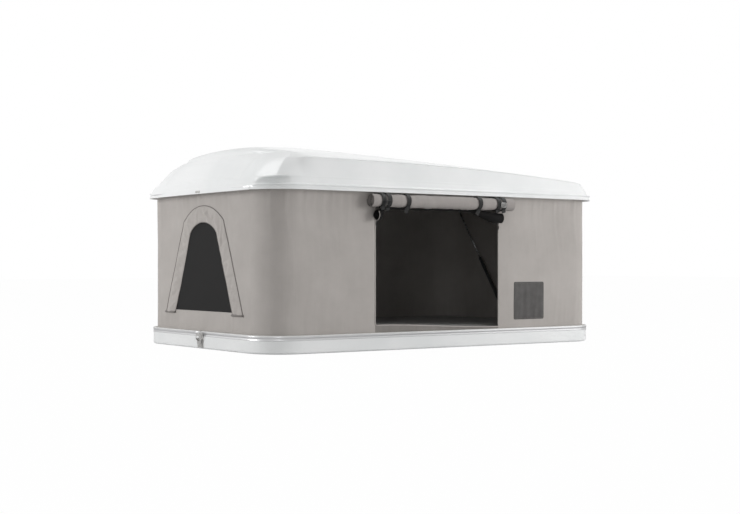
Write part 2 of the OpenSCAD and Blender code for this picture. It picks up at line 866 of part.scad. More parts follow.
roof_lining();
roof_frame();
spring_heads(-1);  // left_spring_heads
spring_heads(1);  // right_spring_heads
keeper(-1);  // left_keeper
keeper(1);  // right_keeper
rolled_door_flap();
rolled_insect_net();
flap_straps();
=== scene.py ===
"""Looks for a hard-shell rooftop tent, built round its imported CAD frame. Sizes are in metres."""

import math

import bpy
import numpy as np
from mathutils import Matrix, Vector


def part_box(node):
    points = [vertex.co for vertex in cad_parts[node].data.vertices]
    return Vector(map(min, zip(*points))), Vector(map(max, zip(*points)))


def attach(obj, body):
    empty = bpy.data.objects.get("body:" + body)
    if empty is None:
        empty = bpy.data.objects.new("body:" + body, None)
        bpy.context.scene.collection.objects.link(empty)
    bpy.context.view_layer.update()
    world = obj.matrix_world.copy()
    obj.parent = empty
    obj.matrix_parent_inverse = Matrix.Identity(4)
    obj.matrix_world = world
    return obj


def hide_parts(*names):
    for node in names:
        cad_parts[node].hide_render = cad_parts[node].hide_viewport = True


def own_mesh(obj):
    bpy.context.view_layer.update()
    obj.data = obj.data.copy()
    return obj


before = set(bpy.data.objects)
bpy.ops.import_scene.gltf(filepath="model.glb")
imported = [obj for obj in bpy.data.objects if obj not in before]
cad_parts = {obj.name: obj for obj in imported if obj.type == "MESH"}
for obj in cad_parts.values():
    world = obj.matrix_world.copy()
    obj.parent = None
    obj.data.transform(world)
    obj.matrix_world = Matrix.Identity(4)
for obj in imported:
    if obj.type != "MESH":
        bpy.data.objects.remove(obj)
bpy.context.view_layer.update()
scene = bpy.context.scene
scene.view_settings.view_transform = "Standard"

# Studio: a pale floor that runs out to a white background, lit by soft boxes to the left, to the right
# and overhead and by a narrow strip near the camera. Four more lamps show only as reflections: one on
# the nose's corner, two along the roof's edges and shelf, and a low card in the base's front.


def linear(hex_colour):
    """An sRGB colour such as "#ABA7A4" as linear RGBA."""
    parts = [int(hex_colour[i : i + 2], 16) / 255 for i in (1, 3, 5)]
    return [p / 12.92 if p <= 0.04045 else ((p + 0.055) / 1.055) ** 2.4 for p in parts] + [1]


def add(tree, kind, sockets=None, **settings):
    """Adds a node: its settings by name, and its sockets as plain values or as outputs to link."""
    made = tree.nodes.new(kind)
    for name, value in settings.items():
        setattr(made, name, value)
    for socket, value in (sockets or {}).items():
        if isinstance(value, bpy.types.NodeSocket):
            tree.links.new(value, made.inputs[socket])
        else:
            made.inputs[socket].default_value = value
    return made


camera = bpy.data.objects.new("camera", bpy.data.cameras.new("camera"))
scene.collection.objects.link(camera)
look_x, look_y = 0.5767, 0.8170  # it looks level, this way in plan
camera.location = (-4.14, -5.8335, 0.4158)
camera.rotation_euler = (math.pi / 2, 0, math.atan2(-look_x, look_y))
camera.data.sensor_width = 36
camera.data.lens = 64.69
camera.data.shift_y = 0.0095
scene.camera = camera

soft_boxes = (
    # name, place, aimed at, width, height, watts, lights surfaces, shows in reflections
    ("left_box", (-5.0, 2.3, 1.9), (-0.9, 0.0, 0.5), 2.2, 2.4, 116, True, True),
    ("right_box", (3.9, -4.8, 1.5), (0.4, -0.6, 0.5), 3.0, 2.6, 166, True, False),
    ("top_box", (-0.6, -0.4, 4.2), (-0.1, 0.0, 0.6), 3.4, 2.6, 42, True, False),
    ("strip", (-3.9, -4.3, 1.1), (-0.9, -0.6, 0.4), 0.55, 1.8, 12, True, True),
    ("glint", (-2.12, 0.93, 3.48), (-1.0, -0.55, 0.87), 1.1, 1.1, 14, False, True),
    ("edge_box", (2.2, -0.55, 3.6), (0.0, -0.58, 0.93), 3.6, 1.3, 50, False, True),
    ("back_box", (2.5, 2.2, 2.4), (0.2, -0.55, 0.93), 3.4, 1.5, 7, False, True),
    ("low_card", (1.45, -1.40, 0.26), (0.55, -0.65, 0.08), 1.3, 0.36, 1.9, False, True),
)
for name, place, aim, width, height, watts, lights, mirrored in soft_boxes:
    lamp = bpy.data.lights.new(name, "AREA")
    lamp.shape, lamp.size, lamp.size_y, lamp.energy = "RECTANGLE", width, height, watts
    box = bpy.data.objects.new(name, lamp)
    box.location = place
    box.rotation_euler = (Vector(aim) - Vector(place)).to_track_quat("-Z", "Y").to_euler()
    box.visible_diffuse, box.visible_glossy, box.visible_camera = lights, mirrored, False
    scene.collection.objects.link(box)

world = bpy.data.worlds.new("studio")
world.use_nodes = True
scene.world = world
tree = world.node_tree
tree.nodes.clear()
fill, mirrored_share = 0.455, 0.55  # what the room gives to surfaces, and how white reflections see it
ray = add(tree, "ShaderNodeLightPath").outputs
seen = add(tree, "ShaderNodeMath", {0: ray["Is Camera Ray"], 1: ray["Is Transmission Ray"]}, operation="MAXIMUM")
glow = add(tree, "ShaderNodeMath", {0: ray["Is Glossy Ray"], 1: mirrored_share}, operation="MULTIPLY")
seen = add(tree, "ShaderNodeMath", {0: seen.outputs[0], 1: glow.outputs[0]}, operation="MAXIMUM")
level = add(tree, "ShaderNodeMapRange", {"Value": seen.outputs[0], "To Min": fill, "To Max": 1.0})
sky = add(tree, "ShaderNodeBackground", {"Color": (1, 1, 1, 1), "Strength": level.outputs[0]})
add(tree, "ShaderNodeOutputWorld", {"Surface": sky.outputs[0]})

far = 30  # the floor's half width
floor_mesh = bpy.data.meshes.new("floor")
floor_mesh.from_pydata([(-far, -far, 0), (far, -far, 0), (far, far, 0), (-far, far, 0)], [], [(0, 1, 2, 3)])
floor = bpy.data.objects.new("floor", floor_mesh)
scene.collection.objects.link(floor)
# Matt paper. The camera sees it nearly white, and it still takes the object's shadow.
paper = bpy.data.materials.new("matt_white_paper")
paper.use_nodes = True
tree = paper.node_tree
shader = tree.nodes["Principled BSDF"]
shader.inputs["Base Color"].default_value = linear("#D6D6D6")
shader.inputs["Roughness"].default_value = 0.9
white = add(tree, "ShaderNodeEmission", {"Color": (1, 1, 1, 1), "Strength": 1.0})
ray = add(tree, "ShaderNodeLightPath").outputs
share = add(tree, "ShaderNodeMath", {0: ray["Is Camera Ray"], 1: 0.985}, operation="MULTIPLY")
mixed = add(tree, "ShaderNodeMixShader", {0: share.outputs[0], 1: shader.outputs[0], 2: white.outputs[0]})
tree.links.new(mixed.outputs[0], tree.nodes["Material Output"].inputs["Surface"])
floor_mesh.materials.append(paper)

# Base tray: one moulding of glass-fibre laminate with a white gel coat, 4 mm thick, rounded at its
# lower edge. Its shape is the CAD's. The same gel coat covers the roof.


def new_material(name, sewn=False, **even):
    """A material with the standard shader: (material, its node tree, the places its patterns are drawn
    at). Cut cloth has patterns along its own UV, the rest in space. even gives the shader's sockets
    that are the same all over, with _ for a space."""
    material = bpy.data.materials.new(name)
    material.use_nodes = True
    tree = material.node_tree
    for socket, value in even.items():
        tree.nodes["Principled BSDF"].inputs[socket.replace("_", " ")].default_value = value
    if sewn:
        return material, tree, add(tree, "ShaderNodeUVMap", uv_map="along_and_up").outputs["UV"]
    return material, tree, add(tree, "ShaderNodeTexCoord").outputs["Object"]


def finish(tree, colours=None, roughness=None, relief=()):
    """Lets patterns finish a material. colours is a pattern and two stops, each its place in the pattern
    and its sRGB colour. roughness is a pattern, the least and the most. relief is one or more patterns,
    each with its strength and its depth in metres, laid one on another."""
    shader = tree.nodes["Principled BSDF"]
    if colours:
        ramp = add(tree, "ShaderNodeValToRGB", {0: colours[0].outputs[0]})
        for stop, (where, colour) in zip(ramp.color_ramp.elements, colours[1:]):
            stop.position, stop.color = where, linear(colour)
        tree.links.new(ramp.outputs[0], shader.inputs["Base Color"])
    if roughness:
        pattern, least, most = roughness
        span = add(tree, "ShaderNodeMapRange", {"Value": pattern.outputs[0], "To Min": least, "To Max": most})
        tree.links.new(span.outputs[0], shader.inputs["Roughness"])
    below = {}
    for pattern, strength, depth in relief:
        sockets = {"Height": pattern.outputs[0], "Strength": strength, "Distance": depth, **below}
        below = {"Normal": add(tree, "ShaderNodeBump", sockets).outputs[0]}
        tree.links.new(below["Normal"], shader.inputs["Normal"])


def assign(material, *nodes):
    """Gives CAD nodes, whose shape is right, this material."""
    for name in nodes:
        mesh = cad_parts[name].data
        mesh.materials.clear()
        mesh.materials.append(material)


# Polyester gel coat on fibreglass: IOR about 1.5, moulded in a polished tool, so it is glossy with
# a slight orange peel of some 8 mm. Dust dulls it a little in patches.
gelcoat, tree, place = new_material(
    "moulded_gelcoat_fibreglass", IOR=1.5, Coat_Weight=0.25, Coat_Roughness=0.12)
dust = add(tree, "ShaderNodeTexNoise", {"Vector": place, "Scale": 3.5, "Detail": 5.0})
peel = add(tree, "ShaderNodeTexNoise", {"Vector": place, "Scale": 120.0, "Detail": 2.0})
finish(tree, (dust, (0.35, "#E4E6E6"), (0.62, "#EBECEC")), (dust, 0.3, 0.4), [(peel, 0.05, 0.001)])
assign(gelcoat, "base_tray")

# Insulated floor: a foam core between the rails and a sandwich panel over them, faced with grey
# glass-fibre laminate whose chopped strands give the eye a short random fleck.
# Laminate: resin-rich and satin, with strands some 17 mm apart.
laminate, tree, place = new_material("chopped_strand_laminate", Roughness=0.6)
strand = add(tree, "ShaderNodeTexVoronoi", {"Vector": place, "Scale": 60.0}, feature="DISTANCE_TO_EDGE")
finish(tree, (strand, (0, "#8E8E8B"), (0.3, "#A9A9A6")), relief=[(strand, 0.2, 0.001)])
assign(laminate, "floor_core", "floor_panel")

# Perimeter trim: an aluminium extrusion bent round the tray's upper edge in a front and a back
# half. It has a bead along its top, a hollow band below and a lip at its foot.

corner_r = 0.185  # plan radius of the base's corners
half_l, half_w = 1.05, 0.65
flat_half_l, flat_half_w = half_l - corner_r, half_w - corner_r  # as far as the corners begin
joint_y = -0.02  # where the trim's halves meet at the ends


def round_corner(sx, sy, steps):
    """Points and outward directions round one plan corner, from the end towards the long side."""
    for i in range(steps + 1):
        a = math.pi / 2 * i / steps
        nx, ny = sx * math.cos(a), sy * math.sin(a)
        yield sx * flat_half_l + corner_r * nx, sy * flat_half_w + corner_r * ny, nx, ny


def half_outline(sy, step=0.05, corner_steps=24):
    """One long side of the base's outline with its corners, and the ends up to the joint: x, y and
    the way out, from the -X end to the +X end."""
    end = np.linspace(joint_y, sy * flat_half_w, max(2, int(abs(sy * flat_half_w - joint_y) / step)))
    side = np.linspace(-flat_half_l, flat_half_l, int(2 * flat_half_l / step))
    path = [(-half_l, y, -1, 0) for y in end[:-1]]
    path += round_corner(-1, sy, corner_steps)
    path += [(x, sy * half_w, 0, sy) for x in side[1:-1]]
    path += reversed(list(round_corner(1, sy, corner_steps)))
    path += [(half_l, y, 1, 0) for y in end[::-1][1:]]
    return path


def make_piece(name, points, faces, material, body, replaces=(), uv=None):
    """Makes a mesh piece that rides on a CAD body and takes a slot's finish, in place of the nodes that
    it replaces. uv is one pair for each point."""
    mesh = bpy.data.meshes.new(name)
    mesh.from_pydata([tuple(p) for p in points], [], faces)
    if uv is not None:
        layer = mesh.uv_layers.new(name="along_and_up")
        for loop in mesh.loops:
            layer.data[loop.index].uv = uv[loop.vertex_index]
    mesh.polygons.foreach_set("use_smooth", [True] * len(mesh.polygons))
    for m in material if isinstance(material, (list, tuple)) else [material]:
        mesh.materials.append(m)
    made = bpy.data.objects.new(name, mesh)
    scene.collection.objects.link(made)
    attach(made, body)
    if replaces:
        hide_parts(*replaces)
    return made


def loft(sections, closed=False, caps=False):
    """Points and faces that join equal sections one after another. closed joins each section's
    last point to its first, and caps fills the first and last section."""
    n = len(sections[0])
    points = [p for section in sections for p in section]
    faces = []
    for k in range(len(sections) - 1):
        for i in range(n if closed else n - 1):
            a, b = k * n + i, k * n + (i + 1) % n
            faces.append((a, b, b + n, a + n))
    if caps:
        faces.append(tuple(reversed(range(n))))
        faces.append(tuple(range((len(sections) - 1) * n, len(sections) * n)))
    return points, faces


# Anodised aluminium: metallic, satin from the die lines that run along it, 1 mm apart.
anodised, tree, place = new_material("anodised_aluminium", Base_Color=linear("#D2D2D3"), Metallic=0.75)
drawn = add(tree, "ShaderNodeMapping", {"Vector": place, "Scale": (6.0, 6.0, 900.0)})
lines = add(tree, "ShaderNodeTexNoise", {"Vector": drawn.outputs[0], "Scale": 1.0, "Detail": 3.0})
finish(tree, roughness=(lines, 0.24, 0.42), relief=[(lines, 0.08, 0.0005)])

# Keder strip: moulded pale grey PVC, pressed into the trim's top to hold the canvas. Smooth, satin,
# a little grimy in patches of some 70 mm.
keder, tree, place = new_material("moulded_pvc_keder", Roughness=0.45)
grime = add(tree, "ShaderNodeTexNoise", {"Vector": place, "Scale": 14.0, "Detail": 4.0})
finish(tree, (grime, (0.3, "#D0D0CE"), (0.6, "#DEDEDC")))

trim_section = [  # distance outside the base's outline, height
    (-0.0260, 0.0826), (-0.0260, 0.0860), (-0.0030, 0.0860), (-0.0004, 0.0859), (0.0008, 0.0854),
    (0.0014, 0.0846), (0.0017, 0.0830), (0.0019, 0.0800), (0.0020, 0.0770), (0.0020, 0.0757),
    (0.0016, 0.0747), (0.0009, 0.0739), (0.0005, 0.0720), (0.0005, 0.0690), (0.0008, 0.0665),
    (0.0014, 0.0652), (0.0018, 0.0640), (0.0017, 0.0627), (0.0010, 0.0620), (-0.0014, 0.0620),
    (-0.0014, 0.0700), (-0.0014, 0.0826),
]
keder_sides = range(1, 6)  # the sides of the section, from the canvas out over the upper edge
for name, sy in (("front_trim", -1), ("back_trim", 1)):
    sections = [[(x + nx * off, y + ny * off, z) for off, z in trim_section] for x, y, nx, ny in half_outline(sy)]
    if sy > 0:
        sections.reverse()
    points, faces = loft(sections, closed=True, caps=True)
    trim = make_piece(name + "_extrusion", points, faces, [anodised, keder], "base", [name])
    for k in range(len(sections) - 1):
        for i in keder_sides:
            trim.data.polygons[k * len(trim_section) + i].material_index = 1
assign(anodised, "front_mount_rail", "back_mount_rail", "roof_frame")

# Roof: a second gel-coated moulding. Its nose leans back and runs into a crown. An upright facet stands
# at each front corner over a pocket, and the side panels run back from there under a sloping shelf. A
# bead and a groove run along the rim flange. It is drawn as a stack of rings, from rim to crown.

rim_z, rim_l, rim_w, rim_r = 0.7595, 1.071, 0.671, 0.206
crest_h, crown_h, ridge_in = 0.180, 0.063, 0.118
crest_back, roof_drop = 0.850, 0.041
cross = rim_w - ridge_in
facet_turn = math.radians(25)
roof_t = 0.004
roof_rows = np.array([
    # height, nose inset, side inset, corner radius, facet's distance from the middle, end inset,
    # depth of the pocket, depth of the flange's groove, fall (0 to 1: share of the panel edge's,
    # 1 to 2: on to the crown edge's), way in of height, share of the step beside the nose, and dip
    (0, 0, 0, .206, 1.3, 0, 0, 0, 0, 0, 0, 0),
    (.0030, 0, 0, .206, 1.3, 0, 0, 0, 0, 0, 0, 0),
    (.0055, 0, 0, .206, 1.3, 0, 0, .0035, 0, 0, 0, 0),
    (.0175, .0005, .0005, .206, 1.3, 0, 0, .0035, 0, 0, 0, 0),
    (.0200, .0005, .0005, .206, 1.3, 0, 0, .0010, 0, -.2, 0, 0),
    (.0225, .0007, 0, .206, 1.3, 0, 0, 0, 0, -.5, 0, 0),
    (.0248, .0010, .0003, .206, 1.3, .0003, 0, 0, 0, -.8, 0, 0),
    (.0262, .0015, .0030, .205, 1.29, .003, .004, 0, 0, -.9, 0, 0),
    (.0275, .0020, .0090, .198, 1.26, .009, .020, 0, .02, -.6, 0, 0),
    (.0320, .0025, .0110, .195, 1.22, .011, .031, 0, .05, -.2, 0, 0),
    (.0420, .0035, .0130, .193, 1.20, .014, .033, 0, .1, .4, 0, 0),
    (.0520, .0050, .0150, .191, 1.18, .017, .030, 0, .2, .4, 0, 0),
    (.0575, .0065, .0170, .189, 1.166, .019, .019, 0, .25, .5, 0, 0),
    (.0600, .0075, .0190, .187, 1.151, .020, .006, 0, .28, .5, 0, 0),
    (.0620, .0080, .0200, .186, 1.147, .021, 0, 0, .3, .3, .3, 0),
    (.0800, .0145, .0330, .173, 1.131, .034, 0, 0, .45, 0, 1, 0),
    (.1000, .0220, .0480, .158, 1.114, .048, 0, 0, .62, 0, 1, 0),
    (.1255, .0330, .0650, .141, 1.092, .065, 0, 0, .82, 0, 1, 0),
    (.1430, .0420, .0780, .128, 1.075, .078, 0, 0, .95, 0, 1, 0),
    (.1480, .0460, .0820, .124, 1.070, .081, 0, 0, 1, -.2, 1, 0),
    (.1515, .0480, .0850, .121, 1.066, .083, 0, 0, 1, -.5, 1, 0),
    (.1535, .0495, .0880, .118, 1.062, .085, 0, 0, 1, -.8, 1, 0),
    (.1540, .0510, .0900, .116, 1.058, .086, 0, 0, 1, -1, 1, 0),
    (.1542, .0520, .0915, .115, 1.055, .087, 0, 0, 1.02, -1, 1, .0010),
    (.1555, .0540, .0930, .113, 1.052, .088, 0, 0, 1.08, -.9, 1, .0008),
    (.1640, .0610, .1010, .110, 1.038, .090, 0, 0, 1.40, -.9, 1, 0),
    (.1740, .0720, .1100, .105, 1.022, .094, 0, 0, 1.80, -.9, 1, 0),
    (.1785, .0780, .1150, .102, 1.015, .097, 0, 0, 1.97, -.9, 1, 0),
    (.1802, .0800, .1180, .100, 1.011, .098, 0, 0, 2, -1, 1, 0),
    (.1804, .0810, .1220, .100, 1.007, .100, 0, 0, 2, -1, 1, .0020),
    (.1806, .0820, .1255, .103, 1.003, .102, 0, 0, 2, -1, 1, .0042),
    (.1810, .0840, .1320, .115, .998, .106, 0, 0, 2, -1, 1, 0),
    (crest_h + .25 * crown_h, .100, rim_w - .89 * cross, .250, .985, .140, 0, 0, 2, -1, 0, 0),
    (crest_h + .51 * crown_h, .130, rim_w - .74 * cross, .280, .96, .210, 0, 0, 2, -1, 0, 0),
    (crest_h + .76 * crown_h, .185, rim_w - .58 * cross, .280, .95, .330, 0, 0, 2, -1, 0, 0),
    (crest_h + .92 * crown_h, .270, rim_w - .4 * cross, .200, .95, .470, 0, 0, 2, -1, 0, 0),
    (crest_h + crown_h, .400, rim_w - .2 * cross, .100, .95, .600, 0, 0, 2, -1, 0, 0),
])


def smooth(a, b, x):
    """A soft step from 0 at a to 1 at b."""
    t = np.clip((x - a) / (b - a), 0, 1)
    return t * t * (3 - 2 * t)


def lower(a, b, soft):
    """The smaller of two distances, rounded over where they meet."""
    return np.minimum(a, b) - np.maximum(soft - np.abs(a - b), 0) ** 2 / (4 * soft)


def finer(rows, parts):
    """The rows with a smooth curve through them that never overshoots, parts steps to a row."""
    step = np.diff(rows, axis=0)
    slope = np.zeros_like(rows)
    both = step[:-1] * step[1:] > 0
    slope[1:-1] = np.where(both, 2 * step[:-1] * step[1:] / np.where(both, step[:-1] + step[1:], 1), 0)
    slope[0], slope[-1] = step[0], step[-1]
    made = []
    for k in range(len(rows) - 1):
        for t in np.arange(parts) / parts:
            made.append((2 * t**3 - 3 * t**2 + 1) * rows[k] + (t**3 - 2 * t**2 + t) * slope[k]
                        + (3 * t**2 - 2 * t**3) * rows[k + 1] + (t**3 - t**2) * slope[k + 1])
    return np.array(made + [rows[-1]])


def rim_places(corner_steps=54, nose_steps=110, side_steps=60):
    """Places round the rim: x, y and the way out, as an angle from the -X end."""
    flat_l, flat_w = rim_l - rim_r, rim_w - rim_r
    turn = np.radians(np.linspace(0, 90, corner_steps + 1))
    across = np.linspace(-flat_w, flat_w, nose_steps + 1)[1:-1]
    along = np.linspace(-flat_l, flat_l, side_steps + 1)[1:-1]
    places = [(-flat_l - rim_r * math.sin(a), -flat_w - rim_r * math.cos(a), 90 - math.degrees(a)) for a in turn]
    places += [(-rim_l, y, 0) for y in across]
    places += [(-flat_l - rim_r * math.cos(a), flat_w + rim_r * math.sin(a), math.degrees(a)) for a in turn]
    places += [(x, rim_w, 90) for x in along]
    places += [(flat_l + rim_r * math.sin(a), flat_w + rim_r * math.cos(a), 90) for a in turn]
    places += [(rim_l, y, 90) for y in across[::-1]]
    places += [(flat_l + rim_r * math.cos(a), -flat_w - rim_r * math.sin(a), 90) for a in turn]
    places += [(x, -rim_w, 90) for x in along[::-1]]
    return np.array(places), 2 * corner_steps + nose_steps


def reach(c, d, front, end, side, r_front, r_end):
    """Distance from each place c along d to a rounded rectangle that is inset from the rim."""
    ahead = d[:, 0] < 0
    x = np.where(ahead, rim_l - front, rim_l - end)
    y = rim_w - side
    r = np.minimum(np.where(ahead, r_front, r_end), y - 0.001)
    u = np.abs(d)
    p = np.stack([np.where(ahead, -c[:, 0], c[:, 0]), np.abs(c[:, 1])], 1)
    size = np.stack([x, np.full_like(x, y)], 1)
    t = np.min(np.where(u > 1e-7, (size - p) / np.maximum(u, 1e-7), 9), axis=1)
    q = p - (size - r[:, None])
    hit = q + u * t[:, None]
    b = (q * u).sum(1)
    root = b * b - (q * q).sum(1) + r * r
    return np.where((hit.min(1) > 0) & (root > 0), -b + np.sqrt(np.maximum(root, 0)), t)


def ring(row, places, depth):
    """One ring of the roof, depth metres inside its outer face."""
    height, nose_in, side_in, corner, facet, end_in, pocket, groove, falls, inward, step, dip = row
    crown = height > crest_h + 0.003
    # Each place looks out, along d, from c on a flat core inside the ring.
    front, end = rim_l - max(0.471, nose_in + 0.1), rim_l - max(0.271, end_in + 0.1)
    core_w = min(rim_w - 0.471, 0.6 * (rim_w - side_in))
    c = np.stack([np.clip(places[:, 0], -front, end), np.clip(places[:, 1], -core_w, core_w)], 1)
    d = places[:, :2] - c
    d /= np.linalg.norm(d, axis=1)[:, None]
    angle, ahead = places[:, 2], d[:, 0] < -0.05
    # The plain ring is a rounded rectangle. At the nose it stands clear, so that the nose's face decides.
    skin = reach(c, d, (nose_in if crown else side_in) + depth, end_in + depth, side_in + depth,
                 corner - depth, (rim_r if crown else corner) - depth)
    if not crown:
        skin = skin + 0.05 * (1 - smooth(2, 16, angle))
    # The nose's face bows back towards its sides, and steps back at its edge beside the facet.
    forward = np.maximum(-d[:, 0], 0.05)
    nose = (rim_l - nose_in - depth + c[:, 0]) / forward
    off = np.clip((c + d * np.minimum(nose, skin)[:, None])[:, 1] / 0.5, -1.2, 1.2)
    edge = np.interp(height, (0.06, 0.1145, 0.1475, 0.18), (0.385, 0.405, 0.415, 0.419))
    beside = smooth(0, 0.010, np.abs(off) * 0.5 - edge)
    lean = 0.09 * min(1, height / crest_h) * off * off
    lean = lean + 0.006 * step * (1 - beside)
    skin = np.where(ahead, lower(skin, nose - lean / forward, 0.004), skin)
    # The facet is a flat face across each front corner.
    out = np.stack([np.full(len(d), -math.cos(facet_turn)), np.sign(places[:, 1]) * math.sin(facet_turn)], 1)
    facing = np.maximum((out * d).sum(1), 0.05)
    skin = np.where(ahead, lower(skin, (facet - depth - (out * c).sum(1)) / facing, 0.005), skin)
    # The side panel stands upright behind the facet and leans in towards the far end.
    along = places[:, 0]
    shelf = min(max(falls - 1, 0), 1)
    end_lean = 0.45 * min(falls, 1) ** 2 * smooth(0.85, 1.02, along)
    upright = smooth(-0.97, -0.82, along) * (1 - end_lean) * (1 - shelf) * (not crown)
    skin = skin + max(side_in - 0.02 - 0.03 * max(height - 0.062, 0), 0) * upright
    # The pocket and the groove are cut in, and both end before the nose.
    t = skin - pocket * smooth(19, 42, angle) * (1 - 0.85 * smooth(-0.995, -0.93, along))
    t = t - groove * smooth(13, 15.5, angle)
    p = c + d * t[:, None]
    # The panel's edge and the shelf fall away towards the back.
    back = np.maximum(0, p[:, 0] + crest_back)
    panel_fall = 0.0165 * back**2.4
    shelf_fall = roof_drop * (0.68 * back + 0.32 * back * back)
    fall = min(falls, 1) * (1 - shelf) * panel_fall + shelf * shelf_fall
    dip = dip * np.where(ahead & (angle < 30), beside, 1)
    z = rim_z + height - fall - dip + depth * inward
    return np.stack([p[:, 0], p[:, 1], z], 1)


def turned_over(faces):
    return [tuple(reversed(f)) for f in faces]


def roof_skin(rows, places, fold, depth):
    """Points and faces of the roof at that depth. Place k faces place fold - k across the middle."""
    n = len(places)
    points, faces = loft([ring(row, places, depth) for row in rows], closed=True)
    top = (len(rows) - 1) * n
    for k in range(fold // 2, fold // 2 + n // 2):
        quad = list(dict.fromkeys(top + i % n for i in (k, k + 1, fold - k - 1, fold - k)))
        if len(quad) > 2:
            faces.append(tuple(quad))
    return points, turned_over(faces)


def apply_modifiers(piece):
    """Gives the piece the mesh that its modifiers make, and takes them off."""
    made = bpy.data.meshes.new_from_object(piece.evaluated_get(bpy.context.evaluated_depsgraph_get()))
    piece.modifiers.clear()
    piece.data = made


def thicken(piece, thickness, inner=None, offset=-1):
    """Gives a sheet its thickness, inwards. inner is the slot of its other face."""
    skin = piece.modifiers.new("thickness", "SOLIDIFY")
    skin.thickness, skin.offset, skin.use_even_offset = thickness, offset, False
    if inner is not None:
        skin.material_offset = inner
    apply_modifiers(piece)
    piece.data.set_sharp_from_angle(angle=math.radians(50))  # the cut edge doesn't bend the face's shading


places, fold = rim_places()
points, faces = roof_skin(finer(roof_rows, 2), places, fold, 0)
roof = make_piece("roof_moulding", points, faces, gelcoat, "roof", ["roof_shell"])
thicken(roof, roof_t)

# Roof lining: grey needled felt over a thin foam, glued inside the shell and quilted in squares.
# Felt has no weave. It shows short random fibres, drawn 4 mm long, and no gloss.
felt, tree, place = new_material("needled_polyester_felt", Roughness=0.95, Sheen_Weight=0.2)
fibre = add(tree, "ShaderNodeTexNoise", {"Vector": place, "Scale": 260.0, "Detail": 6.0, "Roughness": 0.7})
finish(tree, (fibre, (0.3, "#6A6866"), (0.7, "#7E7B78")), relief=[(fibre, 0.3, 0.002)])

lining_gap, lining_t, quilt = 0.0043, 0.008, 0.15
places, fold = rim_places(12, 10, 30)
rows = finer(roof_rows[14:], 2)  # from above the pocket
points, faces = roof_skin(rows, places, fold, lining_gap)
inner = np.array(roof_skin(rows, places, fold, lining_gap + lining_t)[0])
seam = np.min([np.abs((inner[:, i] / quilt + 0.5) % 1 - 0.5) for i in (0, 1)], axis=0) * quilt
inner[:, 2] += 0.006 * np.exp(-((seam / 0.012) ** 2))
n, count = len(places), len(points)
faces += [tuple(v + count for v in reversed(f)) for f in faces]
faces += [(i, (i + 1) % n, (i + 1) % n + count, i + count) for i in range(n)]
lining = make_piece(
    "quilted_roof_lining", list(points) + list(inner), faces, felt, "roof", ["roof_lining"])

# Walls: polyester-cotton canvas on the outside and a dark coated face inside, stretched from the
# trim up to the roof's frame. The front one runs round both corners and is cut for the doorway.
# It has soft upright folds, most where it is gathered at its top.

wall_t, wall_out = 0.003, -0.0205
wall_low, wall_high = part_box("front_wall")[0].z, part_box("front_wall")[1].z
door_left, door_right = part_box("back_door_flap")[0].x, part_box("back_door_flap")[1].x
door_sill, door_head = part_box("back_door_flap")[0].z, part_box("back_door_flap")[1].z
sill_left, sill_right = door_sill + 0.012, door_sill - 0.014
arc_r = corner_r + wall_out  # plan radius of the canvas at a corner
arc = arc_r * math.pi / 2
wall_run = 2 * arc + 2 * flat_half_l
canvas_y = half_w + wall_out  # how far the long walls stand from the middle
front_seed, back_seed = 11, 23


def ripple(where, seed, lowest, highest, count=9):
    """A sum of sine waves with fixed random phases, about -1 to 1. Frequencies are per metre."""
    draw = np.random.default_rng(seed)
    waves = np.geomspace(lowest, highest, count) * draw.uniform(0.85, 1.15, count)
    phases = draw.uniform(0, 2 * np.pi, count)
    return sum(np.sin(2 * np.pi * f * where + p) for f, p in zip(waves, phases)) / math.sqrt(count)


def wall_folds(along, up, length, seed):
    """How far the canvas stands out of its plane, zero where two wall pieces meet."""
    t = (up - wall_low) / (wall_high - wall_low)
    ends = smooth(0, 0.10, along) * smooth(0, 0.10, length - along)
    top, foot = np.exp(-(1 - t) / 0.12), np.exp(-t / 0.10)
    lean = along + 0.03 * ripple(up, seed + 5, 0.5, 2, 3)
    broad = 0.0016 * ripple(lean, seed, 1.2, 5) * np.sin(np.pi * np.clip(t, 0, 1)) ** 0.5
    fine = (0.00035 + 0.0021 * top + 0.0006 * foot) * ripple(lean, seed + 1, 12, 36)
    return (broad + fine) * ends * smooth(0, 0.006, 1 - t) * smooth(0, 0.02, t)


def held_flat(x):
    """The share of its folds that the front canvas keeps at x. The doorway's edges are held flatter."""
    edge = np.minimum(np.abs(x - door_left), np.abs(x - door_right))
    return 0.35 + 0.65 * smooth(0, 0.05, edge)


def woven(tree, place, scale, operation, wander=0.0):
    """Warp and weft, with threads 314 mm / scale apart. MULTIPLY raises where they cross, and MAXIMUM
    raises each all along."""
    sockets = {"Vector": place, "Scale": scale, "Distortion": wander}
    warp = add(tree, "ShaderNodeTexWave", sockets, bands_direction="X").outputs["Fac"]
    weft = add(tree, "ShaderNodeTexWave", sockets, bands_direction="Y").outputs["Fac"]
    return add(tree, "ShaderNodeMath", {0: warp, 1: weft}, operation=operation)


# Polyester-cotton canvas: a plain weave of 0.6 mm threads, drawn at 2 mm so that it shows, matt,
# with faint upright wrinkles from packing and a little cloudy fading.
def canvas_material(name, dark, light):
    material, tree, place = new_material(
        name, sewn=True, Roughness=0.88, Specular_IOR_Level=0.25, Sheen_Weight=0.08)
    cloud = add(tree, "ShaderNodeTexNoise", {"Vector": place, "Scale": 5.0, "Detail": 6.0, "Roughness": 0.6})
    weave = woven(tree, place, 160.0, "MULTIPLY", wander=0.3)
    tall = add(tree, "ShaderNodeMapping", {"Vector": place, "Scale": (46.0, 3.0, 1.0)})
    crease = add(tree, "ShaderNodeTexNoise", {"Vector": tall.outputs[0], "Scale": 1.0, "Detail": 4.0})
    finish(tree, (cloud, (0.32, dark), (0.68, light)), relief=[(weave, 0.12, 0.0006), (crease, 0.28, 0.004)])
    return material


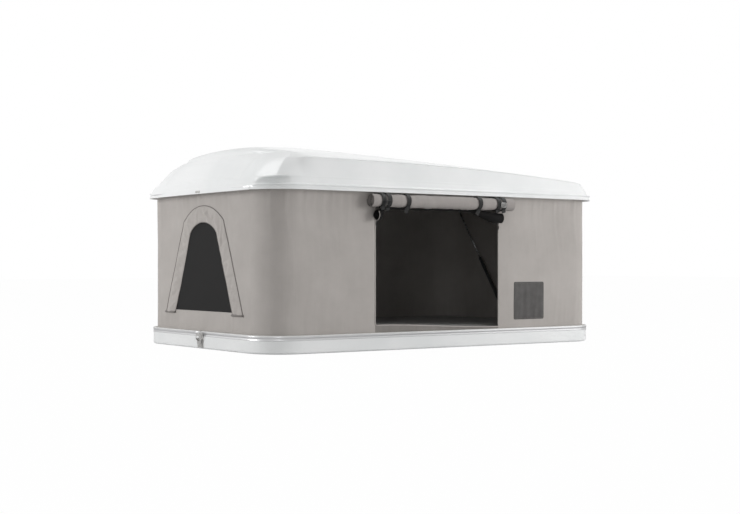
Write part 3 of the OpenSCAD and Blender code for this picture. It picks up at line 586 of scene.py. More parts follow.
canvas = canvas_material("poly_cotton_canvas", "#AAA5A1", "#B3AEAA")
# The rolled flap's canvas is a darker copy of the wall's canvas: painted shade from the roof above it.
rolled_canvas_painted_shade = canvas_material("poly_cotton_canvas_rolled_painted_shade", "#97928F", "#A09B98")
canvas_inside = canvas_material("coated_canvas_inside", "#B4B0AC", "#BEBAB6")
# The canvas below the doorway is drawn darker than the wall's: painted shade.
sill_painted_shade = canvas_material("sill_canvas_painted_shade", "#827E7A", "#8E8A86")


def spread(stops, step):
    """Places from stop to stop, about a step apart."""
    runs = [np.linspace(a, b, max(2, int((b - a) / step))) for a, b in zip(stops, stops[1:])]
    return np.unique(np.concatenate(runs))


def long_wall(name, sy, hole, seed):
    """A long wall with its two corners. hole says that the doorway is left out."""
    flat_start = arc + flat_half_l
    along = spread([0, arc, flat_start + door_left, flat_start + door_right, wall_run - arc, wall_run], 0.009)
    sill = sill_left if hole else door_sill
    up = spread([wall_low, sill, door_head, wall_high], 0.011)
    s, z = np.meshgrid(along, up, indexing="ij")
    turned = np.where(s < wall_run / 2, s, wall_run - s)
    a = np.clip(turned / arc_r, 0, math.pi / 2)
    a = np.where(s < wall_run / 2, a, math.pi - a)
    nx, ny = -np.cos(a), np.sin(a)
    x = np.clip(s - flat_start, -flat_half_l, flat_half_l)
    stand = wall_folds(s, z, wall_run, seed)
    if hole:
        drop = (sill_left - sill_right) * smooth(door_left, door_right, x) * (1 - smooth(0.4, 0.7, x))
        rows_below = np.clip((z - wall_low) / (sill_left - wall_low), 0, 1)
        z = z - drop * rows_below * (1 - smooth(sill_left, sill_left + 0.1, z))
        stand = stand * held_flat(x)
    off = arc_r + stand
    points = np.stack([x + nx * off, sy * (flat_half_w + ny * off), z], -1).reshape(-1, 3)
    uv = np.stack([s, z], -1).reshape(-1, 2)
    faces, under_door = [], []
    rows = len(up)
    for i in range(len(along) - 1):
        mid = (along[i] + along[i + 1]) / 2 - flat_start
        for k in range(rows - 1):
            level = (up[k] + up[k + 1]) / 2
            in_door = hole and door_left < mid < door_right
            if in_door and sill < level < door_head:
                continue
            quad = (i * rows + k, (i + 1) * rows + k, (i + 1) * rows + k + 1, i * rows + k + 1)
            if in_door and level < sill:
                under_door.append(len(faces))
            faces.append(quad if sy < 0 else tuple(reversed(quad)))
    wall = make_piece(
        name + "_canvas", points, faces, [canvas, canvas_inside, sill_painted_shade], "base", [name], uv)
    # The faces below the doorway take the darker canvas, which is painted shade.
    for face in under_door:
        wall.data.polygons[face].material_index = 2
    thicken(wall, wall_t, inner=1)
    area = wall_run * (wall_high - wall_low)
    if hole:
        area -= (door_right - door_left) * (door_head - sill)
    flatten(wall)


def flatten(piece):
    """Gives the piece a mesh of its own."""
    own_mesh(piece)


long_wall("front_wall", -1, True, front_seed)
long_wall("back_wall", 1, False, back_seed)


def at_end(sx, y, z, off):
    """Places on one end wall: across, up, and out from the base's outline."""
    return np.stack(np.broadcast_arrays(sx * (half_l + off), y, z), -1)


def distance_along(line):
    """How far along a polyline each of its points is."""
    return np.concatenate([[0], np.cumsum(np.linalg.norm(np.diff(line, axis=0), axis=1))])


def resample(line, count):
    """A polyline drawn again with count points at equal distances."""
    line = np.array(line, float)
    run = distance_along(line)
    where = np.linspace(0, run[-1], count)
    return np.stack([np.interp(where, run, line[:, i]) for i in range(line.shape[1])], 1)


def arch(half_wide, low, half_s, shoulder, top, count, closed=False):
    """A trapezoid under an arch, from its left foot over the top to its right foot."""
    rise = top - shoulder
    r = (half_s * half_s + rise * rise) / (2 * rise)
    half = math.asin(half_s / r)
    line = [(-half_wide, low)] + [(r * math.sin(a), top - r + r * math.cos(a)) for a in np.linspace(-half, half, 33)]
    line += [(half_wide, low)] + [(-half_wide, low)] * closed
    return resample(line, count)


# Each arch's half width and height at its foot, half width and height at its shoulders, and top.
mesh_arch = (0.293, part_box("left_window_net")[0].z, 0.137, 0.570, 0.622)
hood_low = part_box("left_window_surround")[0].z
hood_arch = (0.395, hood_low, 0.210, 0.625, 0.703)


def end_wall_stand(y, z, sx):
    return wall_folds(y + flat_half_w, z, 2 * flat_half_w, 37 if sx < 0 else 53)


# Insect net: black-brown polyester mesh, 1.2 mm holes drawn at 3 mm so that they show.
net, tree, place = new_material("polyester_insect_net", sewn=True, Roughness=0.85, Specular_IOR_Level=0.35)
mesh_threads = woven(tree, place, 105.0, "MAXIMUM")
finish(tree, (mesh_threads, (0.5, "#0A0909"), (0.95, "#100F0F")), relief=[(mesh_threads, 0.25, 0.0005)])

# Woven binding round sewn edges: a 12 mm polyester tape folded over a cord. Its darker grey is partly the tape's own
# colour and partly painted shade along the seams.
binding_and_seam_shade = canvas_material("polyester_binding_tape_and_seam_shade", "#787471", "#86827F")


def ring_round(p, d, radius, turns):
    """Points round p, square to the direction d."""
    a = d.cross(Vector((0.13, 0.21, 0.97))).normalized()
    b = d.cross(a)
    return [tuple(Vector(p) + radius * (math.cos(t) * a + math.sin(t) * b)) for t in turns]


def direction_along(line):
    """Which way a polyline runs at each of its points."""
    step = np.gradient(line, axis=0)
    return step / np.linalg.norm(step, axis=1)[:, None]


def tube(name, line, radius, material, body, sides=8, closed=False):
    """A cord or piping along a line."""
    line = np.array(line, float)
    if closed:
        line = np.concatenate([line[-1:], line, line[:1]])
    step = direction_along(line)
    if closed:
        line, step = line[1:-1], step[1:-1]
    turns = [2 * math.pi * i / sides for i in range(sides)]
    sections = [ring_round(p, Vector(d), radius, turns) for p, d in zip(line, step)]
    if closed:
        sections.append(sections[0])
    points, faces = loft(sections, closed=True, caps=not closed)
    run = np.repeat(np.arange(len(sections)) * 0.01, sides)
    uv = np.stack([run, np.tile(np.arange(sides) * 0.002, len(sections))], 1)
    return make_piece(name, points, faces, material, body, uv=uv)


window_middle = np.array([0.0, 0.36])
for side, sx in (("left", -1), ("right", 1)):
    # The wall piece between the corners, cut out for the window: rings from the window to the border.
    inner = arch(*mesh_arch, 241, closed=True)[:-1]
    ray = inner - window_middle
    reach_y = flat_half_w / np.maximum(np.abs(ray[:, 0]), 1e-9)
    reach_z = np.where(ray[:, 1] > 0, wall_high - window_middle[1], window_middle[1] - wall_low)
    reach_z = reach_z / np.maximum(np.abs(ray[:, 1]), 1e-9)
    border = window_middle + ray * np.minimum(reach_y, reach_z)[:, None]
    for cy in (-flat_half_w, flat_half_w):
        for cz in (wall_low, wall_high):
            border[np.argmin(np.hypot(border[:, 0] - cy, border[:, 1] - cz))] = (cy, cz)
    flats = [inner + (border - inner) * t for t in np.linspace(0, 1, 26)]
    sections = [at_end(sx, y, z, wall_out + end_wall_stand(y, z, sx)) for y, z in (f.T for f in flats)]
    points, faces = loft(sections, closed=True)
    wall = make_piece(
        f"{side}_wall_canvas", points, turned_over(faces) if sx < 0 else faces, [canvas, canvas_inside],
        "base", [f"{side}_wall"], np.concatenate(flats))
    thicken(wall, wall_t, inner=1)
    flatten(wall)

    # Its net, which sags in a little towards its middle.
    shares = np.linspace(1, 0.02, 14)
    flats = [window_middle + (inner - window_middle) * t for t in shares]
    sections = [at_end(sx, *f.T, wall_out - 0.0016 - 0.002 * (1 - t * t)) for f, t in zip(flats, shares)]
    points, faces = loft(sections, closed=True)
    faces.append(tuple(range(len(points) - len(inner), len(points))))
    mesh_net = make_piece(
        f"{side}_window_mesh", points, turned_over(faces) if sx > 0 else faces, [net, canvas_inside],
        "base", [f"{side}_window_net"], np.concatenate(flats))
    thicken(mesh_net, 0.0008, inner=1)
    flatten(mesh_net)

    # The surround: a padded canvas band sewn on over the window's edge, puckered between its seams.
    steps = 300
    a, b = arch(mesh_arch[0] + 0.004, hood_low, *mesh_arch[2:], steps), arch(*hood_arch, steps)
    across, run = np.linspace(0, 1, 15), np.linspace(0, 1.55, steps)
    sections = []
    for k in range(steps):
        y, z = (a[k] + (b[k] - a[k]) * across[:, None]).T
        pad = 0.0006 + 0.0055 * np.sin(np.pi * across) ** 0.5
        pucker = ripple(run[k] + 0.035 * across, 71, 9, 38) * np.sin(np.pi * across)
        cross_fold = ripple(run[k] - 0.10 * across, 73, 5, 16) * np.sin(np.pi * across) ** 2
        off = wall_out + end_wall_stand(y, z, sx) + pad + 0.0016 * pucker + 0.0034 * cross_fold
        sections.append(at_end(sx, y, z, off))
    uv = np.stack([np.repeat(run, 15), np.tile(across * 0.1, steps)], 1)
    points, faces = loft(sections)
    band = make_piece(
        f"{side}_window_band", points, turned_over(faces) if sx > 0 else faces, canvas,
        "base", [f"{side}_window_surround"], uv)
    thicken(band, 0.0015)
    flatten(band)
    # The piping's darker grey partly paints the shadow along the band's edges.
    for edge, line, radius, lift in (("outer", b, 0.0023, 0.0012), ("inner", a, 0.0018, 0.001)):
        y, z = line.T
        route = at_end(sx, y, z, wall_out + end_wall_stand(y, z, sx) + lift)
        flatten(tube(f"{side}_window_{edge}_piping", route, radius, binding_and_seam_shade, "base"))
    for foot, k in (("front", 0), ("back", -1)):
        from_y, to_y = a[k][0] - 0.004 * np.sign(a[k][0]), b[k][0] + 0.006 * np.sign(b[k][0])
        y, z = np.linspace(from_y, to_y, 9), np.full(9, hood_low)
        route = at_end(sx, y, z, wall_out + end_wall_stand(y, z, sx) + 0.003)
        flatten(tube(f"{side}_window_{foot}_hem", route, 0.0052, binding_and_seam_shade, "base"))

# Doorway: the cut edges are bound with a doubled strip of the canvas over a 5 mm cord. The zip's
# two sliders are left hanging at its head, each with a knotted cord for a pull.
sill_run = np.linspace(door_left, door_right, 40)
sill_line = sill_left - (sill_left - sill_right) * smooth(door_left, door_right, sill_run)
steps = 170
frame_line = resample([(door_left, door_head), *zip(sill_run, sill_line), (door_right, door_head)], steps)
sew = 0.0004 * ripple(np.arange(steps) * 0.012, 91, 4, 22)
route = np.stack([frame_line[:, 0], -canvas_y + 0.0005 + sew, frame_line[:, 1]], 1)
flatten(tube("doorway_binding", route, 0.0032, canvas, "base"))

# Moulded acetal: satin black plastic, with the fine spark finish of its mould, 1 mm coarse here.
acetal, tree, place = new_material("moulded_black_acetal", Base_Color=linear("#232323"))
grain = add(tree, "ShaderNodeTexNoise", {"Vector": place, "Scale": 900.0, "Detail": 2.0})
finish(tree, roughness=(grain, 0.35, 0.55), relief=[(grain, 0.15, 0.0003)])


def squeeze(piece):
    """Gives the piece a mesh of its own."""
    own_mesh(piece)


def zip_pull(name, line, body, slider_r):
    """A zip's slider and its cord, knotted at the end: rings of these radii down a line."""
    radii = (0.0042, slider_r, 0.0042, 0.0022, 0.0014, 0.0013, 0.0013, 0.0014, 0.0022, 0.0030, 0.0033,
             0.0033, 0.0031, 0.0026, 0.0012)
    turns = np.linspace(0, 2 * np.pi, 9)[:-1]
    sections = [[(x + r * math.cos(t), y + 0.7 * r * math.sin(t), z) for t in turns]
                for (x, y, z), r in zip(resample(line, len(radii)), radii)]
    points, faces = loft(sections, closed=True, caps=True)
    return make_piece(name, points, faces, acetal, body)


for name, x, z in (("left_zip_pull", door_left + 0.004, 0.640), ("right_zip_pull", door_right - 0.004, 0.632)):
    y = -canvas_y - 0.0048
    line = [(x, y, z), (x + 0.001, y - 0.001, z - 0.012), (x + 0.0005, y - 0.0015, z - 0.026)]
    squeeze(zip_pull(name, line + [(x, y - 0.001, z - 0.040)], "roof", 0.0045))

# Patch beside the door: a square of dark PVC-coated cloth, left bare, sewn on along its edges.
# Coated polyester: satin, with its weave just showing through, threads 1.6 mm apart, and worn in
# patches of some 45 mm.
patch_cloth, tree, place = new_material("pvc_coated_polyester_patch", sewn=True, Roughness=0.55)
wear = add(tree, "ShaderNodeTexNoise", {"Vector": place, "Scale": 22.0, "Detail": 5.0})
weave = woven(tree, place, 200.0, "MULTIPLY")
finish(tree, (wear, (0.35, "#454342"), (0.7, "#4F4D4C")), relief=[(weave, 0.1, 0.0004)])

# Bonded nylon thread: grey, slightly shiny, twisted.
thread, tree, place = new_material("bonded_nylon_thread", Base_Color=linear("#8C8986"), Roughness=0.5)
twist = add(tree, "ShaderNodeTexNoise", {"Vector": place, "Scale": 1500.0})
finish(tree, relief=[(twist, 0.2, 0.0002)])


def stitches(name, line, body, pitch=0.006, radius=0.0004):
    """A row of lockstitches along a line: short threads with gaps between them."""
    stops = resample(line, max(2, int(distance_along(line)[-1] / pitch)) * 3 + 1)
    points, faces = [], []
    for k in range(0, len(stops) - 3, 3):
        part = [stops[k], (stops[k] + stops[k + 1]) / 2, stops[k + 1], stops[k + 2]]
        d = Vector(part[-1] - part[0]).normalized()
        rings = [ring_round(p, d, radius * share, (0, 1.26, 2.51, 3.77, 5.03))
                 for p, share in zip(part, (0.3, 1, 1, 0.3))]
        more, quads = loft(rings, closed=True, caps=True)
        faces += [tuple(v + len(points) for v in f) for f in quads]
        points += more
    return make_piece(name, points, faces, thread, body)


def grid_faces(cols, rows):
    """The faces between points that stand in columns, one column after another."""
    return [(i * rows + k, (i + 1) * rows + k, (i + 1) * rows + k + 1, i * rows + k + 1)
            for i in range(cols - 1) for k in range(rows - 1)]


def flat_stand(x, z, seed):
    """How far a long wall's folds stand out at a place on its flat part."""
    return wall_folds(x + flat_half_l + arc, z, wall_run, seed)


def front_stand(x, z):
    """The same for the front wall, which is held flatter beside its doorway."""
    return flat_stand(x, z, front_seed) * held_flat(x)


low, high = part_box("blank_patch")
cols, rows = 37, 35
u, v = np.meshgrid(np.linspace(-1, 1, cols), np.linspace(-1, 1, rows), indexing="ij")
near = np.maximum(np.abs(u), np.abs(v))  # 1 at the edge
turned = np.maximum(np.abs(u) + np.abs(v) - 1.93, 0)  # its corners are turned under
x = (low.x + high.x) / 2 + (high.x - low.x) / 2 * u * (1 - turned / 3)
z = (low.z + high.z) / 2 + (high.z - low.z) / 2 * v * (1 - turned / 3)
puff = 0.0008 * ripple(x, 5, 8, 30) * (1 - near**4) + 0.0006 * (1 - near**6)
seam = 0.0005 * np.exp(-(((near - 0.94) / 0.02) ** 2))
y = -canvas_y - front_stand(x, z) - 0.0009 - puff + seam
points = np.stack([x, y, z], -1).reshape(-1, 3)
patch = make_piece("sewn_patch", points, grid_faces(cols, rows), patch_cloth, "base",
                   ["blank_patch"], np.stack([x, z], -1).reshape(-1, 2))
thicken(patch, 0.001)
flatten(patch)
inset = 0.006
left, right, foot, head = low.x + inset, high.x - inset, low.z + inset, high.z - inset
x, z = resample([(left, foot), (right, foot), (right, head), (left, head), (left, foot)], 400).T
line = np.stack([x, -canvas_y - front_stand(x, z) - 0.0012, z], 1)
flatten(stitches("patch_stitches", line, "base"))

# Back door: the same opening in the back wall, here closed by its flap. The flap is held by a coil
# zip up both sides and along its foot, under a narrow tape, with two sliders at the top corners.
low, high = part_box("back_door_flap")
cols, rows = 80, 62
u, v = np.meshgrid(np.linspace(0, 1, cols), np.linspace(0, 1, rows), indexing="ij")
x, z = low.x + (high.x - low.x) * u, low.z + (high.z - low.z) * v
edge = np.minimum(np.minimum(u, 1 - u) * (high.x - low.x), np.minimum(v, 1 - v) * (high.z - low.z))
sag = 0.0022 * ripple(x + 0.25 * (z - 0.4), 61, 1.5, 7) + 0.0009 * ripple(x - 0.15 * z, 62, 12, 36)
y = canvas_y + 0.0012 + np.maximum(flat_stand(x, z, back_seed), 0) + smooth(0, 0.04, edge) * (0.0042 + sag)
points = np.stack([x, y, z], -1).reshape(-1, 3)
faces = [(a, d, c, b) for a, b, c, d in grid_faces(cols, rows)]
panel = make_piece("zipped_back_flap", points, faces, canvas, "base", ["back_door_flap"],
                   np.stack([x, z], -1).reshape(-1, 2))
thicken(panel, 0.001)
flatten(panel)

turn_r, zip_top, steps = 0.015, high.z - 0.012, 300
loop = resample([(low.x, zip_top), (low.x, low.z + turn_r), (low.x + turn_r, low.z),
                 (high.x - turn_r, low.z), (high.x, low.z + turn_r), (high.x, zip_top)], steps)
way = direction_along(loop)
side = np.stack([way[:, 1], -way[:, 0]], 1)
strips = []
for w, lift in ((-0.012, 0.0014), (-0.008, 0.0022), (-0.002, 0.0024),
                (0.002, 0.0024), (0.008, 0.0022), (0.012, 0.0014)):
    x, z = (loop + side * w).T
    strips.append(np.stack([x, canvas_y + np.maximum(flat_stand(x, z, back_seed), 0) + lift, z], 1))
sections = np.stack(strips, 1)
points, faces = loft(sections)
uv = np.stack([np.repeat(np.arange(steps) * 0.0065, 6), np.tile(np.arange(6) * 0.005, steps)], 1)
tape = make_piece("back_zip_tape", points, faces, binding_and_seam_shade, "base", uv=uv)
thicken(tape, 0.0008)
flatten(tape)
coil_line = (sections[:, 2] + sections[:, 3]) / 2 + (0, 0.0004, 0)
flatten(tube("back_zip_coil", coil_line, 0.0022, acetal, "base", sides=6))
for name, k in (("back_left_slider", 0), ("back_right_slider", -1)):
    x, y, z = coil_line[k]
    line = [(x, y + 0.001, z + 0.004), (x, y + 0.003, z - 0.006), (x + 0.001, y + 0.0025, z - 0.020)]
    flatten(zip_pull(name, line + [(x + 0.001, y + 0.002, z - 0.042)], "base", 0.0046))


# Rolled door flap: the doorway's canvas, hemmed and rolled up from its foot in four and a half
# turns, and tied under the rim with webbing straps that pull it in.
strap_places = (-0.431, -0.399, -0.283, 0.167, 0.289, 0.322)
roll_y, roll_z, roll_r = -0.6676, 0.7211, 0.0352


def pinch(x):
    """1 under a strap, falling to 0 some 30 mm away from it."""
    return sum(np.exp(-(((x - place) / 0.020) ** 2)) for place in strap_places[:1] + strap_places[2:5])


def roll_surface(x, turn):
    """How far the roll's outside stands from its middle, at a place along it and an angle."""
    lumps = 0.0011 * ripple(x + 0.02 * np.sin(turn), 81, 3, 12)
    lumps = lumps + 0.0009 * ripple(x + 0.035 * np.cos(turn + 0.6), 82, 14, 40)
    tied = np.minimum(pinch(x), 1)
    return roll_r + lumps * (1 - 0.6 * tied) - 0.0032 * tied - 0.0006


def spiral_roll(name, stations, turns, per_turn, inner_r, tail, shape, shift, material, replaces):
    """A sheet rolled up, with its edge at the angle tail. shape(x, turn) gives its middle's y and z and
    the outside's radius, and shift(x, share) how far a turn stands out endways."""
    steps = int(turns * per_turn)
    sections, uv = [], []
    for x in stations:
        line = []
        for k in range(steps + 1):
            share = k / steps
            turn = tail - 2 * math.pi * turns * (1 - share)
            cy, cz, outer = shape(x, turn)
            r = inner_r + (outer - inner_r) * share
            line.append((x + shift(x, share), cy + r * math.cos(turn), cz + r * math.sin(turn)))
        sections.append(line)
        uv += [(x, 0.6 * k / steps) for k in range(steps + 1)]
    points, faces = loft(sections)
    return make_piece(name, points, faces, material, "roof", replaces, uv)


def flap_shape(x, turn):
    return roll_y, roll_z, roll_surface(x, turn)


def telescoped(x, share):
    """The inner turns of a roll stand out a little at its ends."""
    ahead = min(1, max(0, (abs(x + 0.047) - 0.407) / 0.032))
    return math.copysign(0.010 * (0.55 - share) * ahead, x)


stations = [np.linspace(-0.486, 0.392, 110)] + [place + np.linspace(-0.016, 0.016, 9) for place in strap_places]
stations = np.unique(np.concatenate(stations))
# Its outer face takes the darker canvas, which is painted shade.
flap = spiral_roll("rolled_canvas_flap", stations, 4.5, 20, 0.006, 0.15, flap_shape, telescoped,
                   [rolled_canvas_painted_shade, binding_and_seam_shade], ["rolled_door_flap"])
thicken(flap, 0.0016, inner=1)
squeeze(flap)

# Rolled net: the door's insect net with a pale bound edge. It is rolled up behind the flap, thin in
# the middle where the straps hold it up, and it droops at its ends.


def net_shape(x, turn):
    end = max(smooth(-0.385, -0.435, x), smooth(0.10, 0.31, x))
    droop = 0.0008 * math.sin(40 * x) + 0.0008 * math.sin(9 * x + 1.0)
    return -0.6412 - 0.0190 * end, 0.6900 - 0.0395 * end + droop, 0.0100 + 0.0168 * end


def net_shift(x, share):
    return math.copysign(0.006 * (0.6 - share), x) if abs(x + 0.058) > 0.34 else 0


net_left, net_right = -0.448, 0.331
rolled_net = spiral_roll("rolled_door_net", np.linspace(net_left, net_right, 76), 12, 12, 0.0008, 0.3, net_shape,
                         net_shift, net, ["rolled_insect_net"])
thicken(rolled_net, 0.0004)
squeeze(rolled_net)
for name, x, span in (("left", net_left, 3.6), ("right", net_right, 4.2)):
    cy, cz, r = net_shape(x, 0)
    turn = np.linspace(math.pi * 0.75, math.pi * 0.75 + span, 40)
    edge_line = [(x + math.copysign(0.001, x), cy + (r - 0.001) * math.cos(t), cz + (r - 0.001) * math.sin(t))
                 for t in turn]
    squeeze(tube(f"{name}_net_edge_binding", edge_line, 0.0016, canvas, "roof", sides=6))

# Straps: 24 mm polypropylene webbing, 1.4 mm thick, sewn to the wall under the rim, taken round the
# roll and closed with a ladder buckle. Each has a short loose tail.
# Woven webbing: satin black, with ribs across it 2 mm apart, drawn at 5 mm so that they show.
webbing, tree, place = new_material("woven_polypropylene_webbing", sewn=True, Roughness=0.6)
ribs = add(tree, "ShaderNodeTexWave", {"Vector": place, "Scale": 64.0}, bands_direction="X")
grain = add(tree, "ShaderNodeTexNoise", {"Vector": place, "Scale": 700.0})
both = add(tree, "ShaderNodeMath", {0: ribs.outputs["Fac"], 1: grain.outputs[0]}, operation="ADD")
finish(tree, (both, (0, "#111111"), (1, "#1D1D1D")), relief=[(both, 0.35, 0.0006)])

# Pressed stainless steel: satin, with fine marks from the press some 3 mm apart.
stainless, tree, place = new_material("pressed_stainless_steel", Base_Color=linear("#C4C3C1"), Metallic=1.0)
marks = add(tree, "ShaderNodeTexNoise", {"Vector": place, "Scale": 350.0, "Detail": 4.0})
finish(tree, roughness=(marks, 0.22, 0.4), relief=[(marks, 0.06, 0.0004)])

strap_half_w, strap_t = 0.012, 0.0014


def strap(name, x, tail_turn, tail_length, stray):
    """One strap: down behind the roll, round its front and up again, with a tail."""
    path = [(x, -canvas_y - 0.0012, rim_z - 0.004), (x, -canvas_y - 0.0016, rim_z - 0.012)]
    for turn in np.linspace(math.radians(50), math.radians(395), 70):
        r = roll_surface(x, turn) + strap_t + 0.0006
        path.append((x, roll_y + r * math.cos(turn), roll_z + r * math.sin(turn)))
    r = roll_surface(x, tail_turn) + 2 * strap_t + 0.0010
    root_y, root_z = roll_y + r * math.cos(tail_turn), roll_z + r * math.sin(tail_turn)
    lean = tail_turn + math.pi / 2
    tail = []
    for t in np.linspace(0, 1, 11):
        out = 0.004 * math.sin(t * math.pi * 0.8)
        y = root_y + tail_length * t * math.cos(lean) * (1 - 0.5 * t) - out
        z = root_z + tail_length * t * (math.sin(lean) * (1 - t) - t)
        tail.append((x + stray * t * t, y, z))
    made = []
    for part, route in ((name, np.array(path)), (name + "_tail", np.array(tail))):
        run = distance_along(route)
        sections, uv = [], []
        for p, d, s in zip(route, direction_along(route), run):
            across = np.cross(d, np.cross((1, 0, 0), d))
            across /= np.linalg.norm(across)
            sections.append([p + across * w for w in np.linspace(-strap_half_w, strap_half_w, 5)])
            uv += [(s, w) for w in np.linspace(0, 2 * strap_half_w, 5)]
        points, faces = loft(sections)
        band = make_piece(part, points, faces, webbing, "roof", uv=uv)
        thicken(band, strap_t, offset=0)
        squeeze(band)
        made.append(band)
    return made


def buckle(name, x, turn, material):
    """A ladder buckle: a rounded frame with two bars, lying on the strap."""
    half_wide, half_high, bend = 0.0155, 0.010, 0.003
    r = roll_surface(x, turn) + 0.0046
    middle = np.array([x, roll_y + r * math.cos(turn), roll_z + r * math.sin(turn)])
    up = np.array([0, -math.sin(turn), math.cos(turn)])
    wide = np.array([1.0, 0, 0])
    route = []
    for cx, cz, start in ((-1, -1, math.pi), (1, -1, -math.pi / 2), (1, 1, 0), (-1, 1, math.pi / 2)):
        for a in start + np.linspace(0, math.pi / 2, 5):
            along, above = cx * (half_wide - bend), cz * (half_high - bend)
            route.append(middle + wide * (along + bend * math.cos(a)) + up * (above + bend * math.sin(a)))
    squeeze(tube(name, route, 0.0019, material, "roof", closed=True))
    for k, lift in ((0, -0.0035), (1, 0.0035)):
        bar = [middle + wide * a + up * lift for a in np.linspace(-half_wide, half_wide, 6)]
        squeeze(tube(f"{name}_bar_{k}", bar, 0.0016, material, "roof"))


strap_tails = (  # angle of the tail's root, its length, its sideways stray
    (4.1, 0.018, 0.003), (4.3, 0.016, 0.004), (4.0, 0.030, -0.012),
    (4.2, 0.026, -0.010), (4.2, 0.014, 0.002), (4.0, 0.016, 0.004),
)
straps = []
for k, (x, tail) in enumerate(zip(strap_places, strap_tails)):
    straps += strap(f"strap_{k + 1}", x, *tail)
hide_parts("flap_straps")
buckle("left_buckle", -0.415, 3.5, acetal)
buckle("right_buckle", 0.313, 3.3, stainless)

# Mattress: a block of foam in a removable cover of knitted polyester, piped along both edges. It
# swells a little between them, and it is flat below, where it lies on the floor.
# Knitted cover: matt, with stitches 3 mm apart and colour that varies softly.
jersey, tree, place = new_material("knitted_polyester_cover", Roughness=0.9, Sheen_Weight=0.15)
course = add(tree, "ShaderNodeTexVoronoi", {"Vector": place, "Scale": 330.0})
cloud = add(tree, "ShaderNodeTexNoise", {"Vector": place, "Scale": 7.0, "Detail": 5.0})
finish(tree, (cloud, (0.35, "#6F6C69"), (0.7, "#7C7976")), relief=[(course, 0.25, 0.001)])

low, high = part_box("mattress")
bed_l, bed_w, bed_r = high.x - 0.004, high.y - 0.004, 0.166
bed_low, bed_top = low.z, high.z - 0.007
cols, rows, side_rows = 94, 58, 4
u, v = np.meshgrid(np.linspace(-bed_l, bed_l, cols), np.linspace(-bed_w, bed_w, rows), indexing="ij")
du, dv = np.maximum(np.abs(u) - (bed_l - bed_r), 0), np.maximum(np.abs(v) - (bed_w - bed_r), 0)
turn = np.where((du > 0) & (dv > 0), np.maximum(du, dv) / np.maximum(np.hypot(du, dv), 1e-9), 1)
u = np.sign(u) * (np.minimum(np.abs(u), bed_l - bed_r) + du * turn)
v = np.sign(v) * (np.minimum(np.abs(v), bed_w - bed_r) + dv * turn)
index = np.arange(cols * rows).reshape(cols, rows)
rim = [int(i) for i in (*index[:, 0], *index[-1, 1:], *index[-2::-1, -1], *index[0, -2:0:-1])]
points = [(a, b, z) for z in (bed_top, bed_low) for a, b in zip(u.ravel(), v.ravel())]
faces = grid_faces(cols, rows)
faces += [tuple(i + cols * rows for i in reversed(f)) for f in faces]
levels = [rim]
for s in range(1, side_rows):
    levels.append(list(range(len(points), len(points) + len(rim))))
    z = bed_top + (bed_low - bed_top) * s / side_rows
    points += [(points[i][0], points[i][1], z) for i in rim]
levels.append([i + cols * rows for i in rim])
for a, b in zip(levels, levels[1:]):
    faces += [(b[i], b[(i + 1) % len(a)], a[(i + 1) % len(a)], a[i]) for i in range(len(a))]
mattress = make_piece("covered_mattress", points, faces, jersey, "base", ["mattress"])
held = mattress.vertex_groups.new(name="held")  # the underside and the upper edge
held.add(rim + list(range(cols * rows, 2 * cols * rows)), 1.0, "REPLACE")

cloth = mattress.modifiers.new("cover", "CLOTH")
cloth.settings.quality, cloth.settings.mass = 5, 0.3
cloth.settings.effector_weights.gravity = 0
cloth.settings.use_pressure, cloth.settings.uniform_pressure_force = True, 4.0
cloth.settings.tension_stiffness = cloth.settings.compression_stiffness = 12
cloth.settings.bending_stiffness = 0.5
cloth.settings.vertex_group_mass = "held"
for moment in range(1, 21):
    scene.frame_set(moment)
swollen = mattress.evaluated_get(bpy.context.evaluated_depsgraph_get()).to_mesh()
moved = np.empty(len(points) * 3)
swollen.vertices.foreach_get("co", moved)
scene.frame_set(1)
mattress.modifiers.clear()
start = np.array(points)
way = moved.reshape(-1, 3) - start
far = np.linalg.norm(way, axis=1)
cap = 0.007  # how far a point may move
way *= (cap * np.tanh(far / cap) / np.maximum(far, 1e-9))[:, None]
mattress.data.vertices.foreach_set("co", (start + way).ravel())
finer_skin = mattress.modifiers.new("finer", "SUBSURF")
finer_skin.levels = finer_skin.render_levels = 1
apply_modifiers(mattress)
for edge, z in (("upper", bed_top), ("lower", bed_low + 0.004)):
    route = np.array([(points[i][0], points[i][1], z) for i in rim + rim[:1]])
    route = resample(route, 420)[:-1]
    tube(f"mattress_{edge}_piping", route, 0.0035, jersey, "base", sides=6, closed=True)

# Gas springs: a black painted steel tube filled with gas, a hard-chromed rod and a moulded ball
# socket at each end. Two at each end of the tent push the roof up in a V from the floor.
# Painted steel: smooth satin black. Chromed rod: ground and polished, with a film of oil.
painted, tree, place = new_material("painted_steel_tube", Base_Color=linear("#4A4A4C"))
haze = add(tree, "ShaderNodeTexNoise", {"Vector": place, "Scale": 60.0, "Detail": 3.0})
finish(tree, roughness=(haze, 0.28, 0.42))
chrome, tree, place = new_material("hard_chromed_rod", Base_Color=linear("#C8C8CA"), Metallic=1.0)
oil = add(tree, "ShaderNodeTexNoise", {"Vector": place, "Scale": 90.0})
finish(tree, roughness=(oil, 0.22, 0.32))

stud_low, stud_high, plane_x = np.array([0.030, 0.105]), np.array([0.515, 0.800]), 0.975
run = stud_high - stud_low
length = float(np.hypot(*run))
run /= length
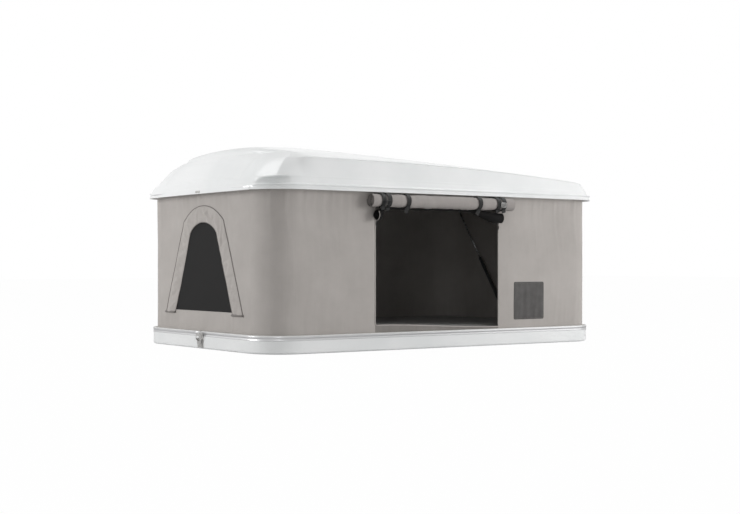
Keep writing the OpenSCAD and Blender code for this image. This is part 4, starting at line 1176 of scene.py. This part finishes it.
# Profiles: how far along from the lower stud, and radius.
tube_profile = [
    (0.012, 0.0), (0.012, 0.005), (0.016, 0.0062), (0.018, 0.0092), (0.020, 0.0098), (0.4, 0.0098),
    (0.402, 0.0096), (0.405, 0.0080), (0.407, 0.0080), (0.410, 0.0096), (0.424, 0.0096),
    (0.427, 0.0085), (0.428, 0.0052), (0.428, 0.0),
]
rod_profile = [(0.420, 0.0), (0.420, 0.004), (length - 0.020, 0.004), (length - 0.020, 0.0)]
socket_profile = [
    (-0.0088, 0.0), (-0.0084, 0.003), (-0.0066, 0.0058), (-0.003, 0.0080), (0.0, 0.0088),
    (0.004, 0.0080), (0.0075, 0.0062), (0.010, 0.0056), (0.020, 0.0056), (0.022, 0.0050), (0.022, 0.0),
]
upper_socket_profile = [(length - along, r) for along, r in socket_profile]
turns = np.linspace(0, 2 * np.pi, 21)[:-1]
for sx, end in ((-1, "left"), (1, "right")):
    for sy, way in ((-1, "front"), (1, "back")):
        node = f"{end}_{way}_gas_spring"
        for part, profile, material, slot in (
            ("tube", tube_profile, painted, "black_steel"),
            ("rod", rod_profile, chrome, "bright_steel"),
            ("lower_socket", socket_profile, acetal, "black_steel"),
            ("upper_socket", upper_socket_profile, acetal, "black_steel"),
        ):
            sections = []
            for along, r in profile:
                cy, cz = stud_low + run * along
                sections.append([(sx * (plane_x + r * math.cos(t)), sy * (cy - run[1] * r * math.sin(t)),
                                  cz + run[0] * r * math.sin(t)) for t in turns])
            points, faces = loft(sections, closed=True)
            stands_for = [node] if part == "tube" else []
            made = make_piece(f"{node}_{part}", points, faces, material, "base", stands_for)
            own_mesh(made)

# Spring feet and heads: folded 4 mm steel with a ball stud, powder coated. Their shape is the CAD's.
# Powder coat: satin, with a fine orange peel of some 1.5 mm.
powder, tree, place = new_material("powder_coated_steel", Base_Color=linear("#262627"))
peel = add(tree, "ShaderNodeTexNoise", {"Vector": place, "Scale": 650.0, "Detail": 2.0})
finish(tree, roughness=(peel, 0.4, 0.55), relief=[(peel, 0.3, 0.0004)])
assign(powder, "left_spring_foot", "right_spring_foot", "left_spring_heads", "right_spring_heads")

# Latches: over-centre toggle latches pressed from stainless sheet, one at each end. The plate is
# riveted to the tray, and the lever pulls a wire bail down over a keeper on the roof's rim.
for part in ("latch_plate", "latch_lever", "latch_bail", "keeper"):
    for end in ("left", "right"):
        assign(stainless, f"{end}_{part}")
        soft_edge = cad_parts[f"{end}_{part}"].modifiers.new("soft_edge", "BEVEL")
        soft_edge.width, soft_edge.segments, soft_edge.limit_method = 0.0004, 2, "ANGLE"
